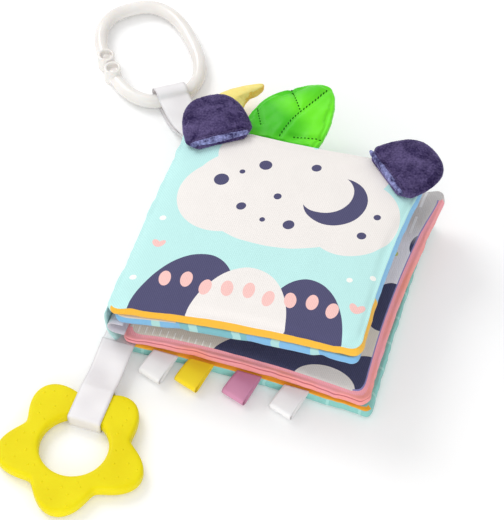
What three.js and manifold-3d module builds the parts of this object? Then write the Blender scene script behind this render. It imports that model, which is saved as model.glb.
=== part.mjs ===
// A crinkle cloth book for a baby: four padded leaves sewn at a soft spine, two plush corner tabs,
// a plush crescent and a cloth leaf on the back edge, a plastic link ring, and a teether on a strap.
// Millimetres, +Z up. The origin is the middle of the flat underside of the back cover.
import * as THREE from 'three';
import { mergeVertices } from 'three/addons/utils/BufferGeometryUtils.js';
import Module from 'manifold-3d';

const wasm = await Module();
wasm.setup();

// Cloth and clearances
const clothThickness = 0.6;    // printed polyester with its seam allowance
const plushThickness = 0.9;    // short-pile plush
const filmThickness = 0.2;     // crinkle film
const ribbonThickness = 0.6;   // satin ribbon
const seat = 0.3;              // clearance where two pieces touch

// The padded leaves
const leafWidth = 153;         // spine edge to fore-edge
const leafDepth = 150;         // front edge to back edge
const leafEdge = 8;            // thickness of a leaf at its sewn edge
const leafCorner = 9;          // corner radius
const leafDraw = 3;            // how far a side draws in between its corners
const leafTopRound = 2.3;      // rounding above the seam
const leafBottomRound = 3;     // rounding below the side
const coverCrown = 3.4;        // crown of the front cover
const pageCrown = 2.4;         // crown of the two pages that face each other
const crownRingShares = [0.45, 0.75];
const crownHeightShares = [0.84, 0.42];

// The stack and the way it stands ajar
const gutterHeight = 9;        // between the two inner pages at the spine
const ajarAngle = 6.7;         // degrees that the upper leaves stand open
const foreTwist = 5.5;         // the upper leaves' fore-edge lifts at the front and dips at the back
const cornerCurl = 8;          // lift of the lower page's back corner at the fore-edge
const frontCoverInset = 4.4;   // spine edges of the leaves, measured from the hinge line
const upperPageInset = 4.9;
const lowerPageInset = 7.4;
const backCoverInset = 8.4;

// The spine
const spineRadius = 16;        // curve of the lower spine strip
const spineLowerTurn = 58;     // degrees that the strip curves under the lower leaves
const stitchGap = 0.6;         // between the two halves at the stitch line
const hingeStandoff = 0.4;     // the leaves turn just outside the spine cloth
const spineEndInset = 0.5;     // the strips stop just short of the leaves' front and back edges
const spineSteps = 7;

// Plush corner tabs
const earWidth = 40;
const earReach = 36;
const earEdge = 5.4;
const earCrown = 1.1;
const earRound = 2;
const earBaseCorner = 6;
const leftEarInX = 24.3;       // middle of each base line, in from the cover's corner
const leftEarInY = 18;
const leftEarTurn = 30;        // degrees that each ear leans out from straight back
const rightEarInX = 24;
const rightEarInY = 21;
const rightEarTurn = -42;
const earPoints = 14;
const earFullnessShare = 0.78;

// Crescent tab, sewn to the lower page
const crescentEdge = 6.4;
const crescentCrown = 1;
const crescentRound = 2.4;
const crescentWidth = 36;
const crescentReach = 63;
const crescentNarrow = 22;     // across its middle
const crescentX = -5;          // left side, from the lower page's spine edge
const crescentPoints = 15;
const crescentOutlineShares = [
  [0.94, 0], [0.63, 0.35], [0.53, 0.63], [0.6, 0.825], [0.76, 1], [0.32, 0.88], [0, 0.71],
  [0.03, 0.55], [0.16, 0.32], [0.5, 0],
];
const crescentMiddleShares = [0.29, 0.61];

// Cloth leaf tab, sewn to the upper page
const leafTabEdge = 4;
const leafTabCrown = 1.2;
const leafTabRound = 1.5;
const leafTabWidth = 55;
const leafTabReach = 53;
const leafTabNarrow = 48;
const leafTabX = 26;           // left side, from the upper page's spine edge
const leafTabPoints = 15;
const leafTabOutlineShares = [
  [0.94, 0], [0.99, 0.2], [1, 0.5], [0.95, 0.78], [0.84, 0.98], [0.66, 0.99], [0.38, 0.85],
  [0.2, 0.72], [0.07, 0.5], [0.03, 0.28], [0.01, 0],
];
const leafTabMiddleShares = [0.52, 0.45];

// Link ring
const ringLong = 40.8;         // half length and half width of the tube's middle line
const ringShort = 28.6;
const ringPower = 2.5;         // roundness of the oval
const ringTube = 4.4;          // tube radius
const ringTurn = 130;          // degrees from X to the ring's long axis
const ringGapHalf = 0.25;      // half of the gap between its two ends
const barrelRadius = 5.6;
const barrelHeight = 12;
const barrelBore = 3.5;
const barrelBoreDepth = 3;
const ringJointShare = 0.253;  // where its two ends meet, as a share of the way round from its far end
const ringSteps = 40;
const ringSides = 8;
const ringFineSteps = 2000;
const barrelSides = 16;

// Ribbons
const strapWidth = 20;
const strapLayers = 1.2;       // the doubled ribbon, pressed flat
const strapRootX = 7.6;        // middle of the strap, from the hinge line
const strapRootZ = 10;
const strapReach = 57.5;       // from the front edge to the strap's fold in the teether's hole
const strapSag = 2.6;          // its dip between the root and the teether
const strapRunShares = [0.3, 0.6, 0.85];
const strapDipShares = [0.75, 1, 0.5];
const strapFold = 1.2;         // bend radius of the strap's folds
const foldTurn = 90;           // degrees of one bend
const foldSteps = 3;
const ringRibbonRootX = 8.6;   // middle of the ring's ribbon, from the hinge line
const ringRibbonRootZ = 12;
const ringRibbonAngle = 132;   // degrees from X to the way the ribbon leaves
const ringRibbonTwist = -8;    // degrees that the ribbon turns on its way to the ring
const ringRibbonReach = 52.3;  // from the back edge to the tube's middle line
const ringLoopFrom = 150;      // degrees at which the ribbon meets the ring's tube, and leaves it
const ringLoopTo = -90;
const ringLoopSteps = 9;
const ringRibbonUpperShares = [[0, 1], [0.22, 0.97], [0.48, 0.7]]; // of its reach and root height
const ringRibbonUnderShares = [[0.7, 0.1], [0.48, 0.42], [0.22, 0.88], [0, 1]];
const layerGap = 0.4;          // between a folded ribbon's two layers
const loopSlack = 1.7;         // room round the ring's tube
const tagWidth = 15;
const tagReach = 17;
const tagFold = 3.6;           // height of the open fold at a tag's end
const tagMiddleHalf = 1.2;     // half of the height between its layers halfway along
const tagFoldTurn = 100;       // degrees from straight ahead at which the fold's bend starts and ends
const tagFoldSteps = 6;
const tagLean = 18;            // degrees that the tags lean towards the spine
const tagTipZ = 3.8;
const tagMiddleShare = 0.42;   // where a tag's two layers have half parted
const tagPlaces = [29, 51, 80, 109]; // middle of each tag, from the lower page's spine edge

// Teether
const teetherTip = 44.5;        // centre to the end of a lobe
const teetherValley = 32.5;     // centre to the outline between two lobes
const teetherHole = 20;        // radius
const teetherThick = 8;
const teetherRound = 2.4;
const teetherLobes = 5;
const teetherFullnessShare = 0.8;
const teetherHoleSides = 28;
const teetherTurn = 96;        // degrees from X to the valley that the strap holds

const radians = THREE.MathUtils.degToRad;
const upright = new THREE.Vector3(0, 0, 1);
const book = new THREE.Group();
book.name = 'cloth_book';

// Materials
function finish(color, roughness = 0.85) {
  return new THREE.MeshStandardMaterial({ color, roughness, metalness: 0 });
}
const colours = {
  mint: finish('#b8ede6'), mustard: finish('#f2b733'), beige: finish('#ece6de'), blue: finish('#73add9'),
  page: finish('#d9d2d0'), pink: finish('#ee8c99'), yellow: finish('#f4c23c'), teal: finish('#80c7bf'),
  film: finish('#e8eef2', 0.3), wadding: finish('#f7f7f4', 1), plush: finish('#473d66', 0.95),
  velour: finish('#ffe98a', 0.95), green: finish('#59d926', 0.6), satin: finish('#f5f5f7', 0.4),
  yellowSatin: finish('#fad900', 0.4), mauveSatin: finish('#c780a1', 0.4), rubber: finish('#ede021', 0.5),
  plastic: finish('#f6f1ee', 0.35), spine: finish('#9fd8d6'), gutter: finish('#c9c6d6'),
};

// A closed solid from rings: each ring is the outline drawn at a share of its size, at a height
function ringSolid(outline, rings, lift = () => 0) {
  const places = [];
  const triangles = [];
  const count = outline.length;
  const starts = [];
  for (const [share, height] of rings) {
    starts.push(places.length / 3);
    const points = share === 0 ? [new THREE.Vector2()] : outline;
    for (const point of points) {
      const x = point.x * share;
      const y = point.y * share;
      places.push(x, y, height + lift(x, y));
    }
  }
  for (let ring = 0; ring + 1 < rings.length; ring += 1) {
    const here = starts[ring];
    const next = starts[ring + 1];
    for (let k = 0; k < count; k += 1) {
      const after = (k + 1) % count;
      if (rings[ring][0] === 0) triangles.push(here, next + k, next + after);
      else if (rings[ring + 1][0] === 0) triangles.push(here + k, next, here + after);
      else if (rings[ring][0] <= rings[ring + 1][0]) {
        triangles.push(here + k, next + k, next + after, here + k, next + after, here + after);
      } else {
        triangles.push(here + k, next + k, here + after, here + after, next + k, next + after);
      }
    }
  }
  const geometry = new THREE.BufferGeometry();
  geometry.setAttribute('position', new THREE.Float32BufferAttribute(places, 3));
  geometry.setIndex(triangles);
  geometry.computeVertexNormals();
  return geometry;
}

const outerRoundSteps = 2;

// The upper or lower face of a padded piece, from its middle to its seam, moved inwards by a depth
function padFace(pad, depth, upper) {
  const roundSteps = depth === 0 ? outerRoundSteps : 1;
  const crown = upper ? pad.crownTop : pad.crownBottom;
  const round = upper ? pad.topRound : pad.bottomRound;
  const sign = upper ? 1 : -1;
  const face = upper ? pad.edge : 0;
  const rings = [[0, face + sign * (crown - depth)]];
  crownRingShares.forEach((share, index) => {
    rings.push([share, face + sign * (crown * crownHeightShares[index] - depth)]);
  });
  for (let step = 0; step <= roundSteps; step += 1) {
    const turn = (step / roundSteps) * Math.PI / 2;
    const inset = round - (round - depth) * Math.sin(turn);
    rings.push([1 - inset / pad.reach, face - sign * (round - (round - depth) * Math.cos(turn))]);
  }
  return rings;
}

// The two cloths, the filling and, in a leaf, the crinkle film of one padded piece
function padSolids(outline, pad, lift) {
  const cloth = pad.cloth;
  const seam = pad.edge - pad.topRound;
  const top = [...padFace(pad, 0, true), ...padFace(pad, cloth, true).reverse()];
  const bottomInner = [...padFace(pad, cloth, false), [1 - cloth / pad.reach, seam - seat]];
  const bottomOuter = [...padFace(pad, 0, false), [1, seam - seat]];
  const solids = {
    top: ringSolid(outline, top, lift),
    bottom: ringSolid(outline, [...bottomInner, ...bottomOuter.reverse()], lift),
  };
  const topDepth = pad.film ? cloth + pad.film + 2 * seat : cloth + seat;
  const core = [...padFace(pad, topDepth, true), ...padFace(pad, cloth + seat, false).reverse()];
  solids.core = ringSolid(outline, core, lift);
  if (pad.film) {
    const flat = crownRingShares.length + 2;
    const above = padFace(pad, cloth + seat, true).slice(0, flat);
    const below = padFace(pad, cloth + seat + pad.film, true).slice(0, flat);
    solids.film = ringSolid(outline, [...above, ...below.reverse()], lift);
  }
  return solids;
}

function addMesh(parent, name, geometry, material) {
  const mesh = new THREE.Mesh(geometry, material);
  mesh.name = name;
  parent.add(mesh);
  return mesh;
}

// Leaf outline, centred: rounded corners, and sides that draw in between them
const leafArcSteps = 2;
const leafSidePoints = 3;
function leafOutline() {
  const halfWidth = leafWidth / 2;
  const halfDepth = leafDepth / 2;
  const points = [];
  const sides = [
    { along: [1, 0], out: [0, -1], half: halfWidth, far: halfDepth },
    { along: [0, 1], out: [1, 0], half: halfDepth, far: halfWidth },
    { along: [-1, 0], out: [0, 1], half: halfWidth, far: halfDepth },
    { along: [0, -1], out: [-1, 0], half: halfDepth, far: halfWidth },
  ];
  for (const side of sides) {
    const run = side.half - leafCorner;
    for (let k = 1; k <= leafSidePoints; k += 1) {
      const share = k / (leafSidePoints + 1);
      const along = run * (2 * share - 1);
      const out = side.far - leafDraw * Math.sin(Math.PI * share);
      points.push(new THREE.Vector2(
        side.along[0] * along + side.out[0] * out, side.along[1] * along + side.out[1] * out));
    }
    for (let k = 0; k <= leafArcSteps; k += 1) {
      const turn = (k / leafArcSteps) * Math.PI / 2;
      const along = run + leafCorner * Math.sin(turn);
      const out = side.far - leafCorner * (1 - Math.cos(turn));
      points.push(new THREE.Vector2(
        side.along[0] * along + side.out[0] * out, side.along[1] * along + side.out[1] * out));
    }
  }
  return points;
}

// Heights of the stack, and the upright line at the spine where its stitches run
const lowerPageZ = leafEdge + seat;
const gutterZ = lowerPageZ + leafEdge;
const upperPageZ = gutterZ + gutterHeight;
const frontCoverZ = upperPageZ + leafEdge + seat;
const stitchZ = gutterZ + gutterHeight / 2;
const hingeX = -leafWidth / 2 - backCoverInset;
const stitchX = hingeX + hingeStandoff;
const leafFrontY = -leafDepth / 2;
const leafBackY = leafDepth / 2;

// The upper half of the book turns as one about the stitch line
const upperHalf = new THREE.Group();
upperHalf.position.set(hingeX, 0, stitchZ);
upperHalf.rotation.y = -radians(ajarAngle);
book.add(upperHalf);

function twistLift(x, y) {
  return foreTwist * (x / leafWidth + 0.5) * (-2 * y / leafDepth);
}
function curlLift(x, y) {
  return cornerCurl * ((x / leafWidth + 0.5) * (y / leafDepth + 0.5)) ** 2;
}

const leaves = [
  { name: 'front_cover', inset: frontCoverInset, z: frontCoverZ, upper: true, lift: twistLift,
    crownTop: coverCrown, crownBottom: 0, topColour: colours.mint, bottomColour: colours.mustard },
  { name: 'upper_page', inset: upperPageInset, z: upperPageZ, upper: true, lift: twistLift,
    crownTop: 0, crownBottom: pageCrown, topColour: colours.beige, bottomColour: colours.blue },
  { name: 'lower_page', inset: lowerPageInset, z: lowerPageZ, upper: false, lift: curlLift,
    crownTop: pageCrown, crownBottom: 0, topColour: colours.page, bottomColour: colours.pink },
  { name: 'back_cover', inset: backCoverInset, z: 0, upper: false, lift: () => 0,
    crownTop: 0, crownBottom: 0, topColour: colours.yellow, bottomColour: colours.teal },
];
const leafGroups = {};
for (const leaf of leaves) {
  const group = new THREE.Group();
  const middleX = hingeX + leaf.inset + leafWidth / 2;
  if (leaf.upper) {
    group.position.set(middleX - hingeX, 0, leaf.z - stitchZ);
    upperHalf.add(group);
  } else {
    group.position.set(middleX, 0, leaf.z);
    book.add(group);
  }
  leafGroups[leaf.name] = group;
  const solids = padSolids(leafOutline(), {
    edge: leafEdge, crownTop: leaf.crownTop, crownBottom: leaf.crownBottom, topRound: leafTopRound,
    bottomRound: leafBottomRound, reach: leafDepth / 2, cloth: clothThickness, film: filmThickness,
  }, leaf.lift);
  addMesh(group, `${leaf.name}_top_cloth`, solids.top, leaf.topColour);
  addMesh(group, `${leaf.name}_lower_cloth`, solids.bottom, leaf.bottomColour);
  addMesh(group, `${leaf.name}_wadding`, solids.core, colours.wadding);
  addMesh(group, `${leaf.name}_crinkle_film`, solids.film, colours.film);
}

// Spine cloth: a strip drawn as a line in the X-Z plane, given its thickness and run along Y
function stripSolid(line, thickness, length) {
  const left = [];
  const right = [];
  line.forEach((point, index) => {
    const before = line[Math.max(index - 1, 0)];
    const after = line[Math.min(index + 1, line.length - 1)];
    const along = after.clone().sub(before).normalize();
    const side = new THREE.Vector2(-along.y, along.x).multiplyScalar(thickness / 2);
    left.push(point.clone().add(side));
    right.push(point.clone().sub(side));
  });
  const shape = new THREE.Shape([...left, ...right.reverse()]);
  const geometry = new THREE.ExtrudeGeometry(shape, { depth: length, bevelEnabled: false, steps: 1 });
  geometry.rotateX(Math.PI / 2);
  geometry.translate(0, length / 2, 0);
  return geometry;
}

const spineMiddle = new THREE.Vector2(stitchX + spineRadius, stitchZ);
const lowerStrip = [];
for (let step = 0; step <= spineSteps; step += 1) {
  const start = Math.asin(stitchGap / 2 / spineRadius);
  const turn = Math.PI + start + (step / spineSteps) * (radians(spineLowerTurn) - start);
  lowerStrip.push(new THREE.Vector2(
    spineMiddle.x + spineRadius * Math.cos(turn), spineMiddle.y + spineRadius * Math.sin(turn)));
}
const spineLength = leafDepth - 2 * spineEndInset;
addMesh(book, 'lower_spine_strip', stripSolid(lowerStrip, clothThickness, spineLength), colours.spine);
const stripSideX = stitchX - hingeX;
const stripTop = new THREE.Vector2(
  frontCoverInset - seat - clothThickness / 2, frontCoverZ + leafBottomRound - stitchZ);
const stripCurve = new THREE.QuadraticBezierCurve(
  new THREE.Vector2(stripSideX, upperPageZ - stitchZ), new THREE.Vector2(stripSideX, frontCoverZ - stitchZ), stripTop);
const upperStrip = [new THREE.Vector2(stripSideX, stitchGap / 2), ...stripCurve.getPoints(spineSteps)];
addMesh(upperHalf, 'upper_spine_strip', stripSolid(upperStrip, clothThickness, spineLength), colours.spine);

// Gutter cloth: the inner panel's fold between the two facing pages, in two quarter rounds
const gutterRadius = gutterHeight / 2 - seat - clothThickness / 2;
const gutterX = upperPageInset + gutterRadius - seat;
function gutterLine(upper) {
  const line = [];
  const start = Math.asin(stitchGap / 2 / gutterRadius);
  for (let step = 0; step <= spineSteps; step += 1) {
    const turn = start + (step / spineSteps) * (Math.PI / 2 - start);
    const height = gutterRadius * Math.sin(turn) * (upper ? 1 : -1);
    line.push(new THREE.Vector2(gutterX - gutterRadius * Math.cos(turn), height));
  }
  return line;
}
addMesh(upperHalf, 'upper_gutter_fold', stripSolid(gutterLine(true), clothThickness, spineLength), colours.gutter);
const lowerGutter = addMesh(book, 'lower_gutter_fold',
  stripSolid(gutterLine(false), clothThickness, spineLength), colours.gutter);
lowerGutter.position.set(hingeX, 0, stitchZ);

// Plush corner tabs: half-round, sewn across the two back corners of the front cover
function earOutline() {
  const points = [];
  const middle = earReach / 2;
  const half = earWidth / 2;
  for (let k = 0; k <= earPoints; k += 1) {
    const turn = Math.PI * (k / earPoints);
    const across = half * Math.sign(Math.cos(turn)) * Math.abs(Math.cos(turn)) ** earFullnessShare;
    points.push(new THREE.Vector2(across, earBaseCorner + (earReach - earBaseCorner) * Math.sin(turn) ** earFullnessShare));
  }
  points.push(new THREE.Vector2(-half + earBaseCorner, 0), new THREE.Vector2(0, 0));
  points.push(new THREE.Vector2(half - earBaseCorner, 0));
  return points.map((point) => point.sub(new THREE.Vector2(0, middle)));
}
const earPad = {
  edge: earEdge, crownTop: earCrown, crownBottom: 0, topRound: earRound, bottomRound: earRound,
  reach: earReach / 2, cloth: plushThickness, film: 0,
};
// The ears stand on the cover's crown at their base line, and follow its twist
const earBaseShare = 1 - leftEarInY / (leafDepth / 2);
const earSeatZ = leafEdge + seat
  + coverCrown * crownHeightShares[1] * (1 - earBaseShare) / (1 - crownRingShares[1]);
const ears = [
  { name: 'left_ear', side: -1, inX: leftEarInX, inY: leftEarInY, turn: radians(leftEarTurn) },
  { name: 'right_ear', side: 1, inX: rightEarInX, inY: rightEarInY, turn: radians(rightEarTurn) },
];
for (const ear of ears) {
  const middle = new THREE.Vector2(0, earReach / 2).rotateAround(new THREE.Vector2(), ear.turn);
  middle.add(new THREE.Vector2(ear.side * (leafWidth / 2 - ear.inX), leafDepth / 2 - ear.inY));
  const onCover = (x, y) => {
    const place = new THREE.Vector2(x, y).rotateAround(new THREE.Vector2(), ear.turn).add(middle);
    return twistLift(place.x, place.y);
  };
  const solids = padSolids(earOutline(), earPad, onCover);
  const group = new THREE.Group();
  group.position.set(middle.x, middle.y, earSeatZ);
  group.rotation.z = ear.turn;
  leafGroups.front_cover.add(group);
  addMesh(group, `${ear.name}_front_plush`, solids.top, colours.plush);
  addMesh(group, `${ear.name}_back_plush`, solids.bottom, colours.plush);
  addMesh(group, `${ear.name}_filling`, solids.core, colours.wadding);
}

// How far a leaf's front or back side is drawn in, at a place measured from the leaf's middle
function sideDrawnIn(x) {
  const spans = leafSidePoints + 1;
  const along = THREE.MathUtils.clamp((x / (leafWidth / 2 - leafCorner) + 1) / 2, 0, 1) * spans;
  const before = Math.min(Math.floor(along), spans - 1);
  const [from, to] = [before, before + 1].map((k) => leafDraw * Math.sin((Math.PI * k) / spans));
  return THREE.MathUtils.lerp(from, to, along - before);
}

const tabRootParts = 4;

// A stuffed tab on the back edge of a leaf: its free outline is in shares of its width and reach, from a
// corner at the root, and its root follows the leaf's drawn-in side
function addTab(parent, tab) {
  const middle = new THREE.Vector2(tab.middleShares[0] * tab.width, tab.middleShares[1] * tab.reach);
  const rounds = new THREE.CatmullRomCurve3(
    tab.outlineShares.map(([across, out]) => new THREE.Vector3(across, out)));
  const shares = rounds.getPoints(tab.points);
  for (let k = 1; k < tabRootParts; k += 1) {
    shares.push(shares[tab.points].clone().lerp(shares[0], k / tabRootParts));
  }
  const outline = shares.map((share) => {
    const drawnIn = sideDrawnIn(tab.fromSpine + share.x * tab.width - leafWidth / 2);
    const point = new THREE.Vector2(share.x * tab.width, share.y * tab.reach - drawnIn * (1 - share.y));
    return point.sub(middle);
  });
  const solids = padSolids(outline, {
    edge: tab.edge, crownTop: tab.crown, crownBottom: 0, topRound: tab.round, bottomRound: tab.round,
    reach: tab.narrow / 2, cloth: tab.cloth, film: 0,
  });
  const group = new THREE.Group();
  group.position.set(tab.fromSpine + middle.x, middle.y + leafBackY + seat, tab.z);
  parent.add(group);
  addMesh(group, `${tab.name}_front_cloth`, solids.top, tab.colour);
  addMesh(group, `${tab.name}_back_cloth`, solids.bottom, tab.colour);
  addMesh(group, `${tab.name}_filling`, solids.core, colours.wadding);
}

const lowerPageFrame = new THREE.Group();
lowerPageFrame.position.x = hingeX + lowerPageInset;
book.add(lowerPageFrame);
addTab(lowerPageFrame, {
  name: 'crescent', fromSpine: crescentX, z: lowerPageZ + (leafEdge - crescentEdge) / 2,
  width: crescentWidth, reach: crescentReach, narrow: crescentNarrow, edge: crescentEdge,
  crown: crescentCrown, round: crescentRound, cloth: plushThickness, points: crescentPoints,
  outlineShares: crescentOutlineShares, middleShares: crescentMiddleShares, colour: colours.velour,
});
const upperPageFrame = new THREE.Group();
upperPageFrame.position.x = upperPageInset;
upperHalf.add(upperPageFrame);
addTab(upperPageFrame, {
  name: 'cloth_leaf', fromSpine: leafTabX, z: upperPageZ - stitchZ + (leafEdge - leafTabEdge) / 2,
  width: leafTabWidth, reach: leafTabReach, narrow: leafTabNarrow, edge: leafTabEdge,
  crown: leafTabCrown, round: leafTabRound, cloth: clothThickness, points: leafTabPoints,
  outlineShares: leafTabOutlineShares, middleShares: leafTabMiddleShares, colour: colours.green,
});

// A ribbon from stations along it: a middle point, the half width across it, and its upward side
function ribbonSolid(stations, thickness) {
  const places = [];
  const triangles = [];
  for (const { at, across, up } of stations) {
    const lift = up.clone().setLength(thickness / 2);
    for (const [side, face] of [[-1, 1], [1, 1], [1, -1], [-1, -1]]) {
      const corner = at.clone().addScaledVector(across, side).addScaledVector(lift, face);
      places.push(corner.x, corner.y, corner.z);
    }
  }
  const last = (stations.length - 1) * 4;
  for (let k = 0; k < last; k += 4) {
    for (let edge = 0; edge < 4; edge += 1) {
      const next = (edge + 1) % 4;
      triangles.push(k + edge, k + next, k + 4 + next, k + edge, k + 4 + next, k + 4 + edge);
    }
  }
  triangles.push(0, 3, 2, 0, 2, 1, last, last + 1, last + 2, last, last + 2, last + 3);
  const geometry = new THREE.BufferGeometry();
  geometry.setAttribute('position', new THREE.Float32BufferAttribute(places, 3));
  geometry.setIndex(triangles);
  geometry.computeVertexNormals();
  return geometry;
}

// Stations of a ribbon whose path lies in an upright plane: points are [run along the ground, height]
function uprightStations(path, start, heading, halfWidth) {
  const forward = new THREE.Vector3(Math.cos(heading), Math.sin(heading), 0);
  const across = new THREE.Vector3(Math.sin(heading), -Math.cos(heading), 0).multiplyScalar(halfWidth);
  return path.map(([run, height], index) => {
    const before = path[Math.max(index - 1, 0)];
    const after = path[Math.min(index + 1, path.length - 1)];
    const up = forward.clone().multiplyScalar(before[1] - after[1]);
    up.z = after[0] - before[0];
    return { at: start.clone().addScaledVector(forward, run).setZ(height), across, up };
  });
}

// Turns the stations near a ribbon's root so that its end lies along X, as the seam does
const turnedShare = 0.7;       // how far along a ribbon this turn is done
function turnFromRoot(stations, start, halfWidth, reach, twist = 0) {
  for (const station of stations) {
    const run = Math.hypot(station.at.x - start.x, station.at.y - start.y) / reach;
    const rootAcross = new THREE.Vector3(halfWidth, 0, 0);
    const farAcross = station.across.clone().applyAxisAngle(upright, radians(twist));
    station.across = rootAcross.lerp(farAcross, THREE.MathUtils.smoothstep(run, 0, turnedShare));
  }
  return stations;
}

// Part of a circle in a ribbon's upright plane
function foldArc(run, height, radius, from, to, steps) {
  const points = [];
  for (let k = 0; k <= steps; k += 1) {
    const turn = radians(from + (to - from) * (k / steps));
    points.push([run + radius * Math.cos(turn), height + radius * Math.sin(turn)]);
  }
  return points;
}

// Link ring: an oval tube with a small upright barrel at each of its two ends
const ringMiddle = new THREE.Vector2(hingeX + ringRibbonRootX, leafBackY).add(
  new THREE.Vector2(ringRibbonReach, 0).rotateAround(new THREE.Vector2(), radians(ringRibbonAngle)),
).add(new THREE.Vector2(ringLong, 0).rotateAround(new THREE.Vector2(), radians(ringTurn)));
const ringZ = ribbonThickness + seat + ringTube;

class OvalPath extends THREE.Curve {
  constructor(start, end) {
    super();
    this.start = start;
    this.end = end;
  }

  getPoint(share, target = new THREE.Vector3()) {
    const turn = this.start + (this.end - this.start) * share;
    const c = Math.cos(turn);
    const s = Math.sin(turn);
    return target.set(
      ringLong * Math.sign(c) * Math.abs(c) ** (2 / ringPower),
      ringShort * Math.sign(s) * Math.abs(s) ** (2 / ringPower), 0);
  }
}

function toManifold(geometry) {
  const bare = geometry.clone();
  bare.deleteAttribute('normal');
  bare.deleteAttribute('uv');
  const merged = mergeVertices(bare.index ? bare.toNonIndexed() : bare, seat / 1000);
  return new wasm.Manifold(new wasm.Mesh({
    numProp: 3,
    vertProperties: new Float32Array(merged.attributes.position.array),
    triVerts: new Uint32Array(merged.index.array),
  }));
}

function fromManifold(solid) {
  const mesh = solid.getMesh();
  const geometry = new THREE.BufferGeometry();
  geometry.setAttribute('position', new THREE.Float32BufferAttribute(mesh.vertProperties, 3));
  geometry.setIndex([...mesh.triVerts]);
  geometry.computeVertexNormals();
  return geometry;
}

function uprightCylinder(radius, bottom, top, x, y, sides) {
  const geometry = new THREE.CylinderGeometry(radius, radius, top - bottom, sides);
  geometry.rotateX(Math.PI / 2);
  geometry.translate(x, y, (top + bottom) / 2);
  return geometry;
}

function circleShape(radius, sides) {
  const points = [];
  for (let k = 0; k < sides; k += 1) {
    const turn = (2 * Math.PI * k) / sides;
    points.push(new THREE.Vector2(radius * Math.cos(turn), radius * Math.sin(turn)));
  }
  return new THREE.Shape(points);
}

// The tube runs between the middles of the two barrels, which stand each side of the joint
const ringStart = new OvalPath(0, 2 * Math.PI);
const ringOverrun = 1;
function barrelShare(direction) {
  const joint = ringStart.getPoint(ringJointShare);
  const reach = barrelRadius + ringGapHalf;
  let share = ringJointShare;
  while (ringStart.getPoint(share).distanceTo(joint) < reach) share += direction / ringFineSteps;
  return share;
}
function ringGeometry() {
  const ends = [barrelShare(1), barrelShare(-1) + 1].map((share) => share * 2 * Math.PI);
  const path = new OvalPath(...ends);
  const tube = new THREE.ExtrudeGeometry(circleShape(ringTube, ringSides), {
    steps: ringSteps, bevelEnabled: false, extrudePath: path,
  });
  const barrels = [path.getPoint(0), path.getPoint(1)];
  let solid = toManifold(tube);
  for (const { x, y } of barrels) {
    solid = solid.add(toManifold(
      uprightCylinder(barrelRadius, -ringZ, barrelHeight - ringZ, x, y, barrelSides)));
  }
  for (const { x, y } of barrels) {
    const top = barrelHeight - ringZ;
    solid = solid.subtract(toManifold(
      uprightCylinder(barrelBore, top - barrelBoreDepth, top + ringOverrun, x, y, barrelSides)));
  }
  return fromManifold(solid);
}
const ring = addMesh(book, 'link_ring', ringGeometry(), colours.plastic);
ring.position.set(ringMiddle.x, ringMiddle.y, ringZ);
ring.rotation.z = radians(ringTurn);

// The ring's ribbon: down from the corner, round the tube and back, its two layers sewn in at the root
const halfGap = (layerGap + ribbonThickness) / 2;
const loopRadius = ringTube + loopSlack + ribbonThickness / 2;
const loopZ = ribbonThickness / 2 + loopRadius;
const ringRibbonPath = [
  ...ringRibbonUpperShares.map(([run, height]) => [
    run * ringRibbonReach, height * ringRibbonRootZ + halfGap]),
  ...foldArc(ringRibbonReach + loopSlack, loopZ, loopRadius, ringLoopFrom, ringLoopTo, ringLoopSteps),
  ...ringRibbonUnderShares.map(([run, height]) => [
    run * ringRibbonReach, height * ringRibbonRootZ - halfGap]),
];
const ribbonStart = new THREE.Vector3(hingeX + ringRibbonRootX, leafBackY + seat, 0);
addMesh(book, 'ring_ribbon', ribbonSolid(turnFromRoot(
  uprightStations(ringRibbonPath, ribbonStart, radians(ringRibbonAngle), strapWidth / 2),
  ribbonStart, strapWidth / 2, ringRibbonReach, ringRibbonTwist), ribbonThickness), colours.satin);

// Teether: five soft lobes round a hole
const teetherLobePoints = 10;
function teetherOutline() {
  const points = [];
  const count = teetherLobes * teetherLobePoints;
  for (let k = 0; k < count; k += 1) {
    const turn = (2 * Math.PI * k) / count;
    const wave = (1 - Math.cos(teetherLobes * turn)) / 2;
    const radius = teetherValley + (teetherTip - teetherValley) * wave ** teetherFullnessShare;
    points.push(new THREE.Vector2(radius, 0).rotateAround(new THREE.Vector2(), turn + radians(teetherTurn)));
  }
  return points;
}
const teetherShape = new THREE.Shape(teetherOutline());
teetherShape.holes.push(circleShape(teetherHole, teetherHoleSides));
const teetherGeometry = new THREE.ExtrudeGeometry(teetherShape, {
  depth: teetherThick - 2 * teetherRound, steps: 1, bevelEnabled: true, bevelThickness: teetherRound,
  bevelSize: teetherRound, bevelOffset: -teetherRound, bevelSegments: 2,
});
teetherGeometry.translate(0, 0, teetherRound);
const teether = addMesh(book, 'teether', teetherGeometry, colours.rubber);
const holeChord = Math.sqrt(teetherHole ** 2 - (strapWidth / 2 + seat) ** 2);
const teetherRun = strapReach - ribbonThickness - seat + holeChord;
const strapX = hingeX + strapRootX;
teether.position.set(strapX, leafFrontY - teetherRun, ribbonThickness + seat);

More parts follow.
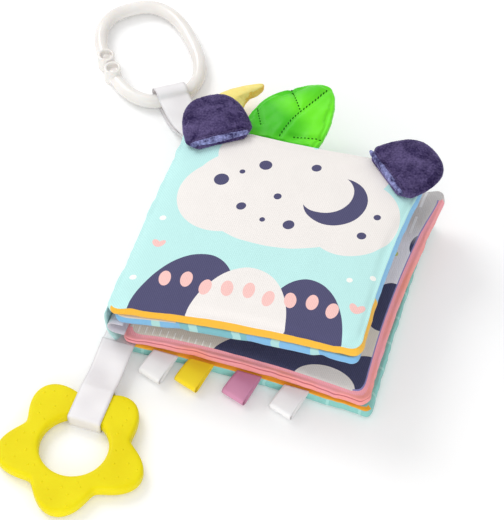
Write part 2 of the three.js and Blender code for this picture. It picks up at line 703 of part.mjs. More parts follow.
// The strap: flat from the book to the teether's lobes, then a loop round the rim and through the hole
const flankReach = Math.max(...teetherOutline()
  .filter((point) => Math.abs(point.x) < strapWidth / 2 + teetherThick / 2 && point.y > 0)
  .map((point) => point.y));
const bendRun = teetherRun - flankReach - seat;
const loopTopZ = ribbonThickness + seat + teetherThick + seat + ribbonThickness / 2;
const strapEndZ = loopTopZ + ribbonThickness / 2 - strapLayers / 2;
const strapStart = new THREE.Vector3(strapX, leafFrontY - seat, 0);
const toFront = -Math.PI / 2;
const strapPath = [
  [0, strapRootZ],
  ...strapRunShares.map((run, index) => [
    run * bendRun, THREE.MathUtils.lerp(strapRootZ, strapEndZ, run) - strapDipShares[index] * strapSag]),
  [bendRun - seat, strapEndZ],
];
addMesh(book, 'strap', ribbonSolid(
  uprightStations(strapPath, strapStart, toFront, strapWidth / 2), strapLayers), colours.satin);
const foldRun = strapReach - ribbonThickness / 2 - strapFold - seat;
const loopPath = [
  [bendRun, loopTopZ],
  ...foldArc(foldRun, loopTopZ - strapFold, strapFold, foldTurn, 0, foldSteps),
  ...foldArc(foldRun, ribbonThickness / 2 + strapFold, strapFold, 0, -foldTurn, foldSteps),
  [bendRun + seat, ribbonThickness / 2],
  [bendRun - ribbonThickness, ribbonThickness + strapFold],
  [bendRun - ribbonThickness, strapEndZ - strapLayers / 2 - 2 * seat],
];
addMesh(book, 'strap_loop', ribbonSolid(
  uprightStations(loopPath, strapStart, toFront, strapWidth / 2), ribbonThickness), colours.satin);

// Ribbon tags: short folded loops along the front edge
const tagColours = [colours.satin, colours.yellowSatin, colours.mauveSatin, colours.satin];
const tagRootZ = lowerPageZ - seat / 2;
const tagHeading = -Math.PI / 2 - radians(tagLean);
const tagMiddle = tagReach * tagMiddleShare;
const tagMiddleZ = THREE.MathUtils.lerp(tagRootZ, tagTipZ, tagMiddleShare);
const tagPath = [
  [0, tagRootZ + halfGap], [tagMiddle, tagMiddleZ + tagMiddleHalf],
  ...foldArc(tagReach - tagFold / 2, tagTipZ, tagFold / 2, tagFoldTurn, -tagFoldTurn, tagFoldSteps),
  [tagMiddle, tagMiddleZ - tagMiddleHalf], [0, tagRootZ - halfGap],
];
tagPlaces.forEach((place, index) => {
  const side = sideDrawnIn(place - leafWidth / 2);
  const start = new THREE.Vector3(hingeX + lowerPageInset + place, leafFrontY + side, 0);
  const stations = turnFromRoot(
    uprightStations(tagPath, start, tagHeading, tagWidth / 2), start, -tagWidth / 2, tagReach);
  addMesh(book, `tag_${index + 1}`, ribbonSolid(stations, ribbonThickness), tagColours[index]);
});

export default book;
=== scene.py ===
# %% [markdown]
# # A crinkle cloth book
# A first book for a baby: four padded leaves sewn together at a soft spine, two plush ears, a plush
# crescent, a satin leaf, a plastic link ring, and a soft teether on a ribbon.
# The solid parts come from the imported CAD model, so each new piece is made where that model has it.

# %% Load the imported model
import math
import random

import bmesh
import bpy
from mathutils import Matrix, Vector, noise
from mathutils.bvhtree import BVHTree


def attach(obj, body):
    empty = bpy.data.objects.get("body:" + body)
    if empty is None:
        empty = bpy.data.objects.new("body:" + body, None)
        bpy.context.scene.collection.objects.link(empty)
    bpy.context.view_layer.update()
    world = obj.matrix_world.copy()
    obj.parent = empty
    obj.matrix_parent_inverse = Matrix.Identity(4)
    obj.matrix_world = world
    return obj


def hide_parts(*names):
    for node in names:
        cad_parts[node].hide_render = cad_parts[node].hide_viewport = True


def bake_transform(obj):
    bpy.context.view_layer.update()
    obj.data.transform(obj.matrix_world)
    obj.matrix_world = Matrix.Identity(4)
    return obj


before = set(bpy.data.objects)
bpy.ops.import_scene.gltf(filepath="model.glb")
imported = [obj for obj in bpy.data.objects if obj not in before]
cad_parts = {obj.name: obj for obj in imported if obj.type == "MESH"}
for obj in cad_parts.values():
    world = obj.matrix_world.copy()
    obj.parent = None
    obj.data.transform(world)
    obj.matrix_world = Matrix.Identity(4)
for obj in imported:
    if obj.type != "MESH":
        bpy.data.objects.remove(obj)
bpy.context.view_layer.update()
MM = 0.001

# %% [markdown]
# ## Camera
# The photograph looks down at the book from the front right, from about a metre and a quarter away.
# A long lens from far off would also do, but the leaves' edges converge a little in the photograph,
# and only the true distance gives that.

# %% Camera
FOCAL = 152.3
CAMERA_PLACE, CAMERA_TILT, CAMERA_TURN = (0.2240, -0.7361, 1.0793), 36.145, 18.325
lens = bpy.data.cameras.new("camera")
lens.lens = FOCAL
lens.sensor_width = 36
lens.sensor_fit = "AUTO"
lens.clip_end = 20
camera = bpy.data.objects.new("camera", lens)
camera.location = CAMERA_PLACE
camera.rotation_euler = (math.radians(CAMERA_TILT), 0, math.radians(CAMERA_TURN))
bpy.context.collection.objects.link(camera)
bpy.context.scene.camera = camera
print("camera", round(camera.location.length, 3), "m from the book's origin")

# %% [markdown]
# ## Floor and light
# A packshot on white paper: one large soft light from the back left, whose shadow falls to the front
# right, a weaker one low in front, and light from all round that keeps the shadow pale. A picture of a
# studio would light it as well, but three plain lights are easier to set, so that a white cloth comes
# out just under white.

# %% Helpers for objects
def new_piece(name, bm, material=None, smooth=False):
    """Turns a bmesh into an object of the scene."""
    if smooth:
        for face in bm.faces:
            face.smooth = True
    mesh = bpy.data.meshes.new(name)
    bm.to_mesh(mesh)
    bm.free()
    if material:
        mesh.materials.append(material)
    piece = bpy.data.objects.new(name, mesh)
    bpy.context.collection.objects.link(piece)
    return piece


def clamp(value, low=0.0, high=1.0):
    return max(low, min(high, value))


# %% Helpers for shader nodes
def add_node(tree, kind, inputs=None, **settings):
    """One shader node, with its inputs either linked or set."""
    made = tree.nodes.new("ShaderNode" + kind)
    for key, value in settings.items():
        setattr(made, key, value)
    for socket, value in (inputs or {}).items():
        if isinstance(value, bpy.types.NodeSocket):
            tree.links.new(value, made.inputs[socket])
        else:
            made.inputs[socket].default_value = value
    return made


def math_node(tree, operation, first, second=0.0):
    """A Math node's result."""
    return add_node(tree, "Math", {0: first, 1: second}, operation=operation).outputs[0]


def joined(tree, operation, values):
    """Joins values with one operation, from the first to the last."""
    whole = values[0]
    for value in values[1:]:
        whole = math_node(tree, operation, whole, value)
    return whole


def product(tree, *values):
    return joined(tree, "MULTIPLY", values)


def sum_of(tree, *values):
    return joined(tree, "ADD", values)


def greatest(tree, *values):
    return joined(tree, "MAXIMUM", values)

# %% Helpers for masks and tones
def less(tree, value, limit):
    """A mask, 1 where a value is less than a limit."""
    return math_node(tree, "LESS_THAN", value, limit)


def more(tree, value, limit):
    """A mask, 1 where a value is more than a limit."""
    return math_node(tree, "GREATER_THAN", value, limit)


def apart(tree, first, second):
    """How far apart two values are."""
    return math_node(tree, "ABSOLUTE", math_node(tree, "SUBTRACT", first, second))


def ramp(tree, value, start, end, low=0.0, high=1.0):
    """Goes from low to high while a value goes from start to end."""
    return add_node(tree, "MapRange", {0: value, 1: start, 2: end, 3: low, 4: high}).outputs[0]


def mottle(tree, place, scale, detail=2.0, distortion=0.0):
    """Soft random blotches, 0 to 1."""
    return add_node(tree, "TexNoise", {"Vector": place, "Scale": scale, "Detail": detail,
                                       "Distortion": distortion}).outputs["Fac"]


def on_object(tree):
    return add_node(tree, "TexCoord").outputs["Object"]


def on_uv(tree, name="print"):
    return add_node(tree, "UVMap", uv_map=name).outputs[0]


def mapped(tree, place, scale=(1, 1, 1), turn=0.0):
    """A place made larger, and then turned by some degrees."""
    return add_node(tree, "Mapping", {"Vector": place, "Scale": scale,
                                      "Rotation": (0, 0, math.radians(turn))}).outputs[0]


def parts_of(tree, vector):
    """The x, y and z of a vector."""
    return add_node(tree, "SeparateXYZ", {0: vector}).outputs


def finish(tree, shader, colour, height, strength, distance):
    """Links a surface's colour, and a bump made from a height."""
    tree.links.new(colour, shader.inputs["Base Color"])
    bump = add_node(tree, "Bump", {"Height": height, "Strength": strength, "Distance": distance})
    tree.links.new(bump.outputs[0], shader.inputs["Normal"])


def paint(tree, under, mask, over):
    """The colour `over` laid on `under` where the mask is 1."""
    mix = add_node(tree, "Mix", data_type="RGBA")
    for socket, value in ((mix.inputs[0], mask), (mix.inputs[6], under), (mix.inputs[7], over)):
        if isinstance(value, bpy.types.NodeSocket):
            tree.links.new(value, socket)
        else:
            socket.default_value = value if isinstance(value, float) else rgb(value)
    return mix.outputs[2]


def two_tone(tree, value, start, end, deep, pale):
    """A deep tone that goes over to a pale one while a value goes from start to end."""
    return paint(tree, deep, ramp(tree, value, start, end), pale)


def rgb(colour):
    """A colour written as screen values, as the linear values that a shader takes."""
    def linear(c):
        return c / 12.92 if c <= 0.04045 else ((c + 0.055) / 1.055) ** 2.4
    return (*[linear(c) for c in colour[:3]], 1.0)


# %% Floor
FLOOR_HALF, GLOW = 3.0, 0.13
bm = bmesh.new()
bmesh.ops.create_grid(bm, x_segments=1, y_segments=1, size=FLOOR_HALF)
floor = new_piece("floor", bm)
paper = bpy.data.materials.new("white_paper")
paper.use_nodes = True
sheet = paper.node_tree.nodes["Principled BSDF"]
sheet.inputs["Base Color"].default_value = (0.93, 0.93, 0.93, 1)
sheet.inputs["Roughness"].default_value = 1.0
sheet.inputs["Specular IOR Level"].default_value = 0.0
sheet.inputs["Emission Color"].default_value = (1, 1, 1, 1)
ray = add_node(paper.node_tree, "LightPath")
seen = greatest(paper.node_tree, ray.outputs["Is Camera Ray"], ray.outputs["Is Glossy Ray"])
paper.node_tree.links.new(product(paper.node_tree, seen, GLOW), sheet.inputs["Emission Strength"])
floor.data.materials.append(paper)
print("floor", FLOOR_HALF * 2, "m wide")

# %% Light
world = bpy.data.worlds.new("studio")
world.use_nodes = True
bpy.context.scene.world = world
sky = world.node_tree
shown = add_node(sky, "LightPath")
AMBIENT = 0.74
strength = greatest(sky, shown.outputs["Is Camera Ray"], shown.outputs["Is Glossy Ray"], AMBIENT)
sky.links.new(strength, sky.nodes["Background"].inputs["Strength"])
sky.nodes["Background"].inputs["Color"].default_value = (1, 1, 1, 1)


def soft_box(name, place, power):
    """A square area light, a metre wide, that points at the book."""
    data = bpy.data.lights.new(name, "AREA")
    data.shape = "SQUARE"
    data.size = 1.0
    data.energy = power
    lamp = bpy.data.objects.new(name, data)
    lamp.location = place
    lamp.rotation_euler = (-Vector(place)).to_track_quat("-Z", "Y").to_euler()
    bpy.context.collection.objects.link(lamp)


soft_box("key", (-1.3, 0.75, 1.45), 15.5)
soft_box("front_fill", (0.2, -1.6, 0.45), 9)
bpy.context.scene.view_settings.view_transform = "Standard"
print("ambient light", AMBIENT, "and", len(bpy.data.lights), "soft boxes")

# %% [markdown]
# ## Where things are
# The two upper leaves stand a few degrees open about the stitch line at the spine, so they have a
# frame of their own. `on_upper` takes a place in that frame to the book's frame, both in millimetres.

# %% The upper half's frame
HINGE_X, STITCH_Z = -84.9, 20.8
AJAR = math.radians(6.7)


def on_upper(x, y, z):
    c, s = math.cos(AJAR), math.sin(AJAR)
    return Vector((HINGE_X + x * c - z * s, y, STITCH_Z + x * s + z * c))


def on_book(x, y, z):
    return Vector((x, y, z))


LEAF_W, LEAF_D = 153.0, 150.0


def twist(x, y):
    """The upper leaves lift at the front of the fore-edge and dip at its back."""
    return 5.5 * (x / LEAF_W + 0.5) * (-2 * y / LEAF_D)


def curl(x, y):
    """The lower page lifts at its back corner."""
    return 8.0 * ((x / LEAF_W + 0.5) * (y / LEAF_D + 0.5)) ** 2


print("upper leaves open by", round(math.degrees(AJAR), 1), "degrees")

# %% [markdown]
# ## Woven cloth
# The leaves are a printed polyester twill: fine diagonal ribs, a dry surface with a faint sheen, and
# slight unevenness in the dye. An image would fix the resolution, so the ribs are a wave texture on the
# cloth's own UV map, and the same wave drives a small bump.

# %% Cloth material
def new_surface(name, roughness, sheen=0.0, specular=0.3, coat=0.0):
    """A material with its Principled shader, its fixed values set on the shader's sockets."""
    material = bpy.data.materials.new(name)
    material.use_nodes = True
    shader = material.node_tree.nodes["Principled BSDF"]
    shader.inputs["Roughness"].default_value = roughness
    shader.inputs["Sheen Weight"].default_value = sheen
    shader.inputs["Sheen Roughness"].default_value = 0.4
    shader.inputs["Specular IOR Level"].default_value = specular
    shader.inputs["Coat Weight"].default_value = coat
    return material, material.node_tree, shader


TWILL_TURN, TWILL = -38, 1.1


def twill_place(tree):
    """The print's UV map as millimetres of cloth, turned to the twill's slant."""
    return mapped(tree, on_uv(tree), (LEAF_W, LEAF_D, 1.0), TWILL_TURN)


def ribs(tree, place, period):
    """Soft parallel ribs, 0 to 1, a period apart in the units of the place."""
    return add_node(tree, "TexWave", {"Vector": place, "Scale": 0.314 / period, "Distortion": 0.0},
                    bands_direction="X").outputs["Fac"]


def finish_cloth(tree, shader, colour, place, period=TWILL, contrast=0.065):
    """Lays twill ribs, pale crossing threads and uneven dye over a colour."""
    rib = ribs(tree, place, period)
    cloud = mottle(tree, place, 0.05, 4.0)
    fine = mottle(tree, place, 1.6, 2.0)
    shade = sum_of(tree, product(tree, rib, contrast), 0.93, product(tree, cloud, 0.05),
                   product(tree, fine, 0.03))
    dyed = add_node(tree, "VectorMath", {0: colour, "Scale": shade}, operation="SCALE").outputs[0]
    threads = paint(tree, dyed, product(tree, rib, fine, 0.05), (0.92, 0.91, 0.93))
    finish(tree, shader, threads, sum_of(tree, rib, product(tree, fine, 0.5)), 0.35, 0.0003)


MINT, CREAM, INDIGO = (0.755, 0.93, 0.92), (0.945, 0.925, 0.91), (0.305, 0.30, 0.44)
NAVY, PINK, MUSTARD = (0.24, 0.25, 0.37), (0.97, 0.78, 0.76), (0.97, 0.74, 0.22)
PINK_EDGE = (0.97, 0.65, 0.69)
print("twill ribs", TWILL, "mm apart")

# %% [markdown]
# ## Prints
# Each print is a few flat colours with clean edges. Most are drawn with ellipses on the UV map: a
# Mapping node in Texture mode makes the inside of an ellipse shorter than 1, and a Less Than node turns
# that into a mask. Stripes and borders are masks from the UV values themselves. Painted textures would
# blur close up, and masks stay sharp.

# %% Shapes for a print
def ellipse(tree, uv, x, y, half_x, half_y, turn=0.0):
    """1 inside an ellipse that is given in shares of the leaf."""
    inside = add_node(tree, "Mapping", {
        "Vector": uv, "Location": (x, y, 0), "Rotation": (0, 0, math.radians(turn)),
        "Scale": (half_x, half_y, 1)}, vector_type="TEXTURE").outputs[0]
    size = add_node(tree, "VectorMath", {0: inside}, operation="LENGTH").outputs["Value"]
    return less(tree, size, 1.0)


def ellipses(tree, uv, shapes):
    """1 inside any of some ellipses."""
    return greatest(tree, *[ellipse(tree, uv, *shape) for shape in shapes])


def heart(tree, uv, x, y, size):
    return ellipses(tree, uv, [(x - side * 0.3 * size, y, 0.42 * size, 0.72 * size, side * 38)
                               for side in (1, -1)])


def dots_at(tree, uv, spots):
    """1 inside any of some dots, given as x, y and half their size."""
    return ellipses(tree, uv, [(x, y, r, r) for x, y, r in spots])


# %% Cover print
cover_print, tree, shader = new_surface("cover_print", 0.85, sheen=0.15, specular=0.15)
uv = on_uv(tree)
cloud = ellipses(tree, uv, (
    (0.51, 0.69, 0.40, 0.24), (0.26, 0.62, 0.19, 0.19), (0.79, 0.63, 0.18, 0.20),
    (0.38, 0.86, 0.22, 0.15), (0.66, 0.86, 0.21, 0.14), (0.50, 0.56, 0.30, 0.16)))
colour = paint(tree, MINT, cloud, CREAM)
moon = math_node(tree, "SUBTRACT", ellipse(tree, uv, 0.70, 0.70, 0.125, 0.13),
                 ellipse(tree, uv, 0.655, 0.735, 0.105, 0.11))
dark_dots = dots_at(tree, uv, (
    (0.22, 0.70, 0.030), (0.34, 0.58, 0.020), (0.37, 0.82, 0.026), (0.47, 0.67, 0.016),
    (0.57, 0.86, 0.020), (0.56, 0.53, 0.024), (0.85, 0.55, 0.018), (0.29, 0.76, 0.012),
    (0.45, 0.53, 0.012), (0.88, 0.66, 0.014)))
colour = paint(tree, colour, greatest(tree, moon, dark_dots), INDIGO)
hills = ellipses(tree, uv, ((0.27, 0.00, 0.20, 0.31, -8), (0.76, -0.02, 0.17, 0.30, 8)))
colour = paint(tree, colour, hills, INDIGO)
colour = paint(tree, colour, ellipse(tree, uv, 0.50, -0.02, 0.20, 0.30), CREAM)
beads = ellipses(tree, uv, [(0.17 + 0.085 * k, 0.165 + 0.012 * math.sin(2.1 * k), 0.024, 0.036,
                             14 - 7 * (k % 3)) for k in range(9)])
hearts = [heart(tree, uv, *spot) for spot in (
    (0.085, 0.33, 0.030), (0.935, 0.19, 0.036), (0.91, 0.92, 0.028))]
colour = paint(tree, colour, greatest(tree, beads, *hearts), PINK)
pale_dots = dots_at(tree, uv, [(x, y, 0.012) for x, y in (
    (0.05, 0.15), (0.87, 0.32), (0.06, 0.46), (0.95, 0.36), (0.05, 0.93))])
colour = paint(tree, colour, pale_dots, (0.98, 0.98, 0.96))
finish_cloth(tree, shader, colour, twill_place(tree))
print("cover print:", len(tree.nodes), "nodes")

# %% Page print
page_print, tree, shader = new_surface("page_print", 0.88, sheen=0.12, specular=0.12)
uv = on_uv(tree)
across, along = parts_of(tree, uv)[:2]
sandy = product(tree, ramp(tree, across, 0.25, 0.42), ramp(tree, along, 0.36, 0.46))
colour = paint(tree, (0.86, 0.83, 0.78), sandy, (0.91, 0.90, 0.92))
comb = less(tree, math_node(tree, "FRACT", product(tree, across, 34.5)), 0.16)
strokes = product(tree, comb, less(tree, apart(tree, along, 0.050), 0.014), less(tree, across, 0.36))
colour = paint(tree, colour, strokes, (0.95, 0.94, 0.92))
shore = ellipses(tree, uv, ((0.70, -0.01, 0.345, 0.20), (0.97, 0.08, 0.12, 0.12),
                            (0.945, 0.44, 0.075, 0.115), (0.965, 0.745, 0.024, 0.044)))
colour = paint(tree, colour, shore, NAVY)
colour = paint(tree, colour, ellipse(tree, uv, 0.815, 0.02, 0.125, 0.082), (0.88, 0.86, 0.84))
lane = product(tree, more(tree, across, 0.80), ramp(tree, along, 0.74, 0.84))
colour = paint(tree, colour, lane, (0.80, 0.78, 0.77))
cut = less(tree, math_node(tree, "FRACT", product(tree, along, 7.7)), 0.68)
dash = product(tree, less(tree, apart(tree, across, 0.925), 0.005), more(tree, along, 0.79), cut)
colour = paint(tree, colour, dash, (0.90, 0.89, 0.89))
colour = paint(tree, colour, ellipse(tree, uv, 0.90, 0.688, 0.010, 0.014, 45), (0.80, 0.82, 0.45))
from_rim = parts_of(tree, on_uv(tree, "edge"))[1]
right_width = ramp(tree, along, 0.955, 0.80, 0.0, 0.0023)
on_right = more(tree, across, 0.93)
piped = product(tree, on_right, less(tree, along, 0.955),
                less(tree, from_rim, sum_of(tree, right_width, 0.0008)))
colour = paint(tree, colour, piped, (0.55, 0.53, 0.74))
hemmed = product(tree, on_right, less(tree, from_rim, right_width))
front = product(tree, less(tree, along, 0.055), less(tree, from_rim, 0.0020))
colour = paint(tree, colour, greatest(tree, hemmed, front), PINK_EDGE)
finish_cloth(tree, shader, colour, twill_place(tree))
print("page print:", len(tree.nodes), "nodes")

# %% Plain and edge cloths
def edge_place(tree):
    """Along the side and up it, in millimetres, from the UV map of the leaf's edge."""
    return mapped(tree, on_uv(tree, "edge"), (1000, 1000, 1))


def plain_cloth(name, tone, deeper=None, edge=False, seam=None):
    """One dyed cloth, drifting softly to a deeper tone. seam is the height and the tone of a dark line
    along the front, partly the seam itself and partly painted shade in its crease."""
    material, tree, shader = new_surface(name, 0.82, sheen=0.2, specular=0.18)
    place = edge_place(tree) if edge else twill_place(tree)
    drift = mottle(tree, place, 0.035, 3.0)
    colour = two_tone(tree, drift, 0.35, 0.65, tone, deeper or [0.94 * c for c in tone])
    if seam:
        # A dark line along the front: partly the seam, partly painted shade of the seam's crease.
        along, height = parts_of(tree, place)[:2]
        in_front = ramp(tree, along, 168.0, 148.0)
        wander = sum_of(tree, product(tree, drift, 2.4), seam[0] - 1.2)
        line = ramp(tree, apart(tree, height, wander), 0.75, 0.15)
        colour = paint(tree, colour, product(tree, line, in_front, 0.75), seam[1])
    finish_cloth(tree, shader, colour, place, period=0.8, contrast=0.07)
    return material


def banded_edge(name, stretches, bars=(), bar_tone=None, half=1.0):
    """An edge cloth whose colour changes along the leaf's side, with bars at places, all in millimetres.
    The side runs from the front left corner along the front, up the right, along the back and down."""
    material, tree, shader = new_surface(name, 0.82, sheen=0.2, specular=0.18)
    place = edge_place(tree)
    run = parts_of(tree, place)[0]
    colour = stretches[0][1]
    for start, tone in stretches[1:]:
        colour = paint(tree, colour, more(tree, run, start), tone)
    for bar in bars:
        colour = paint(tree, colour, less(tree, apart(tree, run, bar), half), bar_tone)
    finish_cloth(tree, shader, colour, place, period=0.8, contrast=0.07)
    return material


SKY, TEAL = (0.50, 0.73, 0.90), (0.55, 0.81, 0.78)
mustard_cloth = plain_cloth("mustard_cloth", MUSTARD, (0.95, 0.67, 0.16))
mustard_edge = plain_cloth("mustard_edge", MUSTARD, (0.95, 0.66, 0.16), edge=True)
beige_cloth = plain_cloth("beige_cloth", (0.91, 0.89, 0.85))
pink_cloth = plain_cloth("pink_cloth", (0.94, 0.62, 0.66))
# Its dark line is partly the seam and partly painted shade in the seam's crease.
pink_edge = plain_cloth("pink_edge", PINK_EDGE, (0.98, 0.62, 0.56), edge=True,
                        seam=(5.6, (0.66, 0.24, 0.30)))
teal_cloth = plain_cloth("teal_cloth", TEAL)
mint_cloth = plain_cloth("mint_cloth", MINT)
lilac_cloth = plain_cloth("lilac_cloth", (0.86, 0.85, 0.89))
blue_edge = banded_edge("blue_edge", ((0, SKY), (40, (0.48, 0.73, 0.78)), (82, SKY)),
                        (25.4, 48.2, 74.7, 100, 124.5, 170, 195, 222, 250, 275), (0.68, 0.86, 0.86), 2.6)
teal_edge = banded_edge("teal_edge", ((0, TEAL),), [12 + 19 * k for k in range(30)],
                        (0.66, 0.87, 0.84), 0.8)
cover_edge = banded_edge("cover_edge", ((0, MUSTARD), (192, (0.55, 0.78, 0.94)), (446, MINT)))
print("plain and edge cloths:", len(bpy.data.materials), "materials so far")

# %% [markdown]
# ## A padded leaf
# A leaf is two cloths sewn round a wadding. Its top is flat or softly crowned, its sides draw in a
# little between the corners, and the seam runs round the side, above its middle. It could be a cube with
# a subdivision surface, but that rounds the corners away. Here a fine grid is extruded once, its sides
# are cut into rows, and every point then moves out to the leaf's outline and its rounding.

# %% The outline of a leaf
DRAW = 3.0


def arch(share):
    """1 in the middle of a side and 0 at its ends."""
    return math.cos(math.pi / 2 * min(1, abs(share)))


def leaf_shape(corner, front=DRAW, right=DRAW, left=DRAW):
    """A leaf's outline: how round its corners are, and how far the middle of each side is drawn in."""
    def outline(u, v):
        """A point on the unit square's edge, moved to the leaf's outline in millimetres."""
        corner_u, corner_v = 2 * corner / LEAF_W, 2 * corner / LEAF_D
        core = Vector((clamp(u, corner_u - 1, 1 - corner_u), clamp(v, corner_v - 1, 1 - corner_v)))
        rest = Vector((u, v)) - core
        rest = Vector((rest.x / corner_u, rest.y / corner_v))
        if rest.length > 0:
            rest = rest.normalized()
        x = core.x * LEAF_W / 2 + rest.x * corner
        y = core.y * LEAF_D / 2 + rest.y * corner
        if abs(v) == 1:
            y -= v * (DRAW if v > 0 else front) * arch(core.x / (1 - corner_u))
        if abs(u) == 1:
            x -= u * (right if u > 0 else left) * arch(core.y / (1 - corner_v))
        return Vector((x, y))
    return outline


def side_run(u, v):
    """How far round the square's edge a point is, from 0 to 8, starting at the front left corner."""
    if v == -1:
        return u + 1
    if u == 1:
        return v + 3
    if v == 1:
        return 5 - u
    return 7 - v


print("front middle of a leaf:", [round(c, 1) for c in leaf_shape(6)(0, -1)])

# %% A pad from a grid
CELLS, EDGE, REACH = 60, 8.0, 75.0


def leaf_pad(name, outline, crowns, seam, border=None, low_round=3.0, top_round=2.3):
    """A closed leaf lying flat, in millimetres about its middle, with UV maps 'print' and 'edge'.
    Material 0 is above the seam, 1 its side and the border, 2 its underside. seam(u, v) is the seam's
    height and border(u, v) is true where the top is edge cloth, both on the unit square."""
    rows = [(low_round * (1 - math.sin(t)), low_round * (1 - math.cos(t))) for t in
            (0, math.radians(32), math.radians(62), math.pi / 2)]
    top = EDGE - top_round
    rows += [(0.0, (low_round + top) / 2)]
    rows += [(top_round * (1 - math.cos(t)), top + top_round * math.sin(t)) for t in
             (0, math.radians(30), math.radians(60), math.pi / 2)]
    last = len(rows) - 1
    bm = bmesh.new()
    bmesh.ops.create_grid(bm, x_segments=CELLS, y_segments=CELLS, size=1.0)
    raised = bmesh.ops.extrude_face_region(bm, geom=bm.faces[:])["geom"]
    tops = [g for g in raised if isinstance(g, bmesh.types.BMVert)]
    bmesh.ops.translate(bm, verts=tops, vec=(0, 0, 1))
    upright = [e for e in bm.edges if abs(e.verts[0].co.z - e.verts[1].co.z) > 0.5]
    bmesh.ops.subdivide_edges(bm, edges=upright, cuts=last - 1, use_grid_fill=True)
    bmesh.ops.recalc_face_normals(bm, faces=bm.faces[:])
    print_uv, edge_uv = bm.loops.layers.uv.new("print"), bm.loops.layers.uv.new("edge")
    seats = {}
    for vert in bm.verts:
        seats[vert] = (round(vert.co.x, 6), round(vert.co.y, 6), round(vert.co.z * last))
    for face in bm.faces:
        levels = sorted({seats[vert][2] for vert in face.verts})
        side = len(levels) == 2
        u, v = (sum(seats[vert][axis] for vert in face.verts) / len(face.verts) for axis in (0, 1))
        height = (rows[levels[0]][1] + rows[levels[-1]][1]) / 2
        if side:
            face.material_index = 0 if height > seam(u, v) else 1
        elif levels[0]:
            face.material_index = 1 if border and border(u, v) else 0
        else:
            face.material_index = 2
        face.smooth = True
        runs = [side_run(*seats[loop.vert][:2]) if side else 0 for loop in face.loops]
        for loop, run in zip(face.loops, runs):
            if max(runs) - run > 4:
                run += 8
            u, v, level = seats[loop.vert]
            inset, z = rows[level]
            if side:
                loop[edge_uv].uv = (run * (LEAF_W + LEAF_D) / 4 * MM, (z + inset) * MM)
            else:
                loop[edge_uv].uv = (u * LEAF_W / 2 * MM, (1 - max(abs(u), abs(v))) * LEAF_W / 2 * MM)
    for vert, (u, v, level) in seats.items():
        size = max(abs(u), abs(v))
        inset, z = rows[level]
        share = 1 - inset / REACH
        flat = Vector((0, 0))
        if size > 1e-6:
            rim = outline(u / size, v / size) * share
            plain = Vector((u * LEAF_W / 2, v * LEAF_D / 2)) * share
            flat = plain.lerp(rim * size, size ** 3)
        if level in (0, last):
            z += (crowns[1] if level else -crowns[0]) * (1 - (size * 0.96 + 0.04 * size * size) ** 2.2)
        vert.co = (flat.x, flat.y, z)
    for face in bm.faces:
        for loop in face.loops:
            loop[print_uv].uv = (loop.vert.co.x / LEAF_W + 0.5, loop.vert.co.y / LEAF_D + 0.5)
    return new_piece(name, bm)


cover = leaf_pad("front_cover_pad", leaf_shape(6.5, left=0.0), (0.0, 3.4), lambda u, v: 7.0,
                 low_round=2.0)
print("cover pad:", len(cover.data.vertices), "points")

# %% [markdown]
# ## Filling the pads
# The wadding pushes the cloths out, and the seam thread, drawn a little tight, gathers them. That is
# what Blender's Cloth with a pressure and a shrinking seam does. It runs at ten times the size, where
# the solver is steadier, and no point is taken farther from its place than the leaf next to it leaves
# room. Sculpting could do the tucks and the waves, but short rules with noise also hold them, and stay
# easy to change.

# %% Simulate a filled pad
SLIDE_CAP = 1.5
# A leaf's pressure, frames, seam shrink, the seam's low and high z, and the caps outward and inward
LEAF_FILL = (5.0, 16, 0.06, 5.6, 5.8, 0.9, 0.8)


def puff(piece, pressure, frames, shrink, seam_low, seam_high, out_cap, in_cap, low=-99.0, high=99.0):
    """Swells a flat pad and gathers its seam. Points stay within the caps of where they began."""
    mesh = piece.data
    rest = [vert.co.copy() for vert in mesh.vertices]
    times = 10 * MM
    mesh.transform(Matrix.Scale(times, 4))
    seam = piece.vertex_groups.new(name="seam")
    seam.add([k for k, place in enumerate(rest) if seam_low <= place.z <= seam_high], 1.0, "REPLACE")
    cloth = piece.modifiers.new("fill", "CLOTH")
    cloth.settings.quality = 6
    cloth.settings.mass = 0.2
    cloth.settings.tension_stiffness = cloth.settings.compression_stiffness = 18
    cloth.settings.shear_stiffness = 8
    cloth.settings.bending_stiffness = 0.25
    cloth.settings.use_pressure = True
    cloth.settings.uniform_pressure_force = pressure
    cloth.settings.vertex_group_shrink = "seam"
    cloth.settings.shrink_min = 0.0
    cloth.settings.shrink_max = shrink
    cloth.settings.effector_weights.gravity = 0.0
    cloth.collision_settings.use_collision = False
    cloth.point_cache.frame_start = 1
    cloth.point_cache.frame_end = frames
    for step in range(1, frames + 1):
        bpy.context.scene.frame_set(step)
    graph = bpy.context.evaluated_depsgraph_get()
    moved = [vert.co / times for vert in piece.evaluated_get(graph).data.vertices]
    piece.modifiers.clear()
    piece.vertex_groups.clear()
    bpy.context.scene.frame_set(1)
    middle = sum(moved, Vector()) / len(moved) - sum(rest, Vector()) / len(rest)
    mesh.transform(Matrix.Scale(1 / times, 4))
    normals = [vert.normal.copy() for vert in mesh.vertices]
    far = 0.0
    for vert, place, was, normal in zip(mesh.vertices, moved, rest, normals):
        shift = place - middle - was
        out = clamp(shift.dot(normal), -in_cap, out_cap)
        slide = shift - normal * shift.dot(normal)
        if slide.length > SLIDE_CAP:
            slide *= SLIDE_CAP / slide.length
        vert.co = was + slide + normal * out
        vert.co.z = clamp(vert.co.z, low, high)
        far = max(far, (vert.co - was).length)
    mesh.update()
    print(piece.name, "filled, its points moved by up to", round(far, 2), "mm")


puff(cover, *LEAF_FILL, low=0.0)

# %% Place a flat pad
def settle(piece, place, levels=1):
    """Takes a pad from its own flat millimetres to the book, and smooths it."""
    for vert in piece.data.vertices:
        vert.co = place(*vert.co) * MM
    if levels:
        smooth = piece.modifiers.new("smooth", "SUBSURF")
        smooth.levels = smooth.render_levels = levels
    piece.data.update()
    return piece


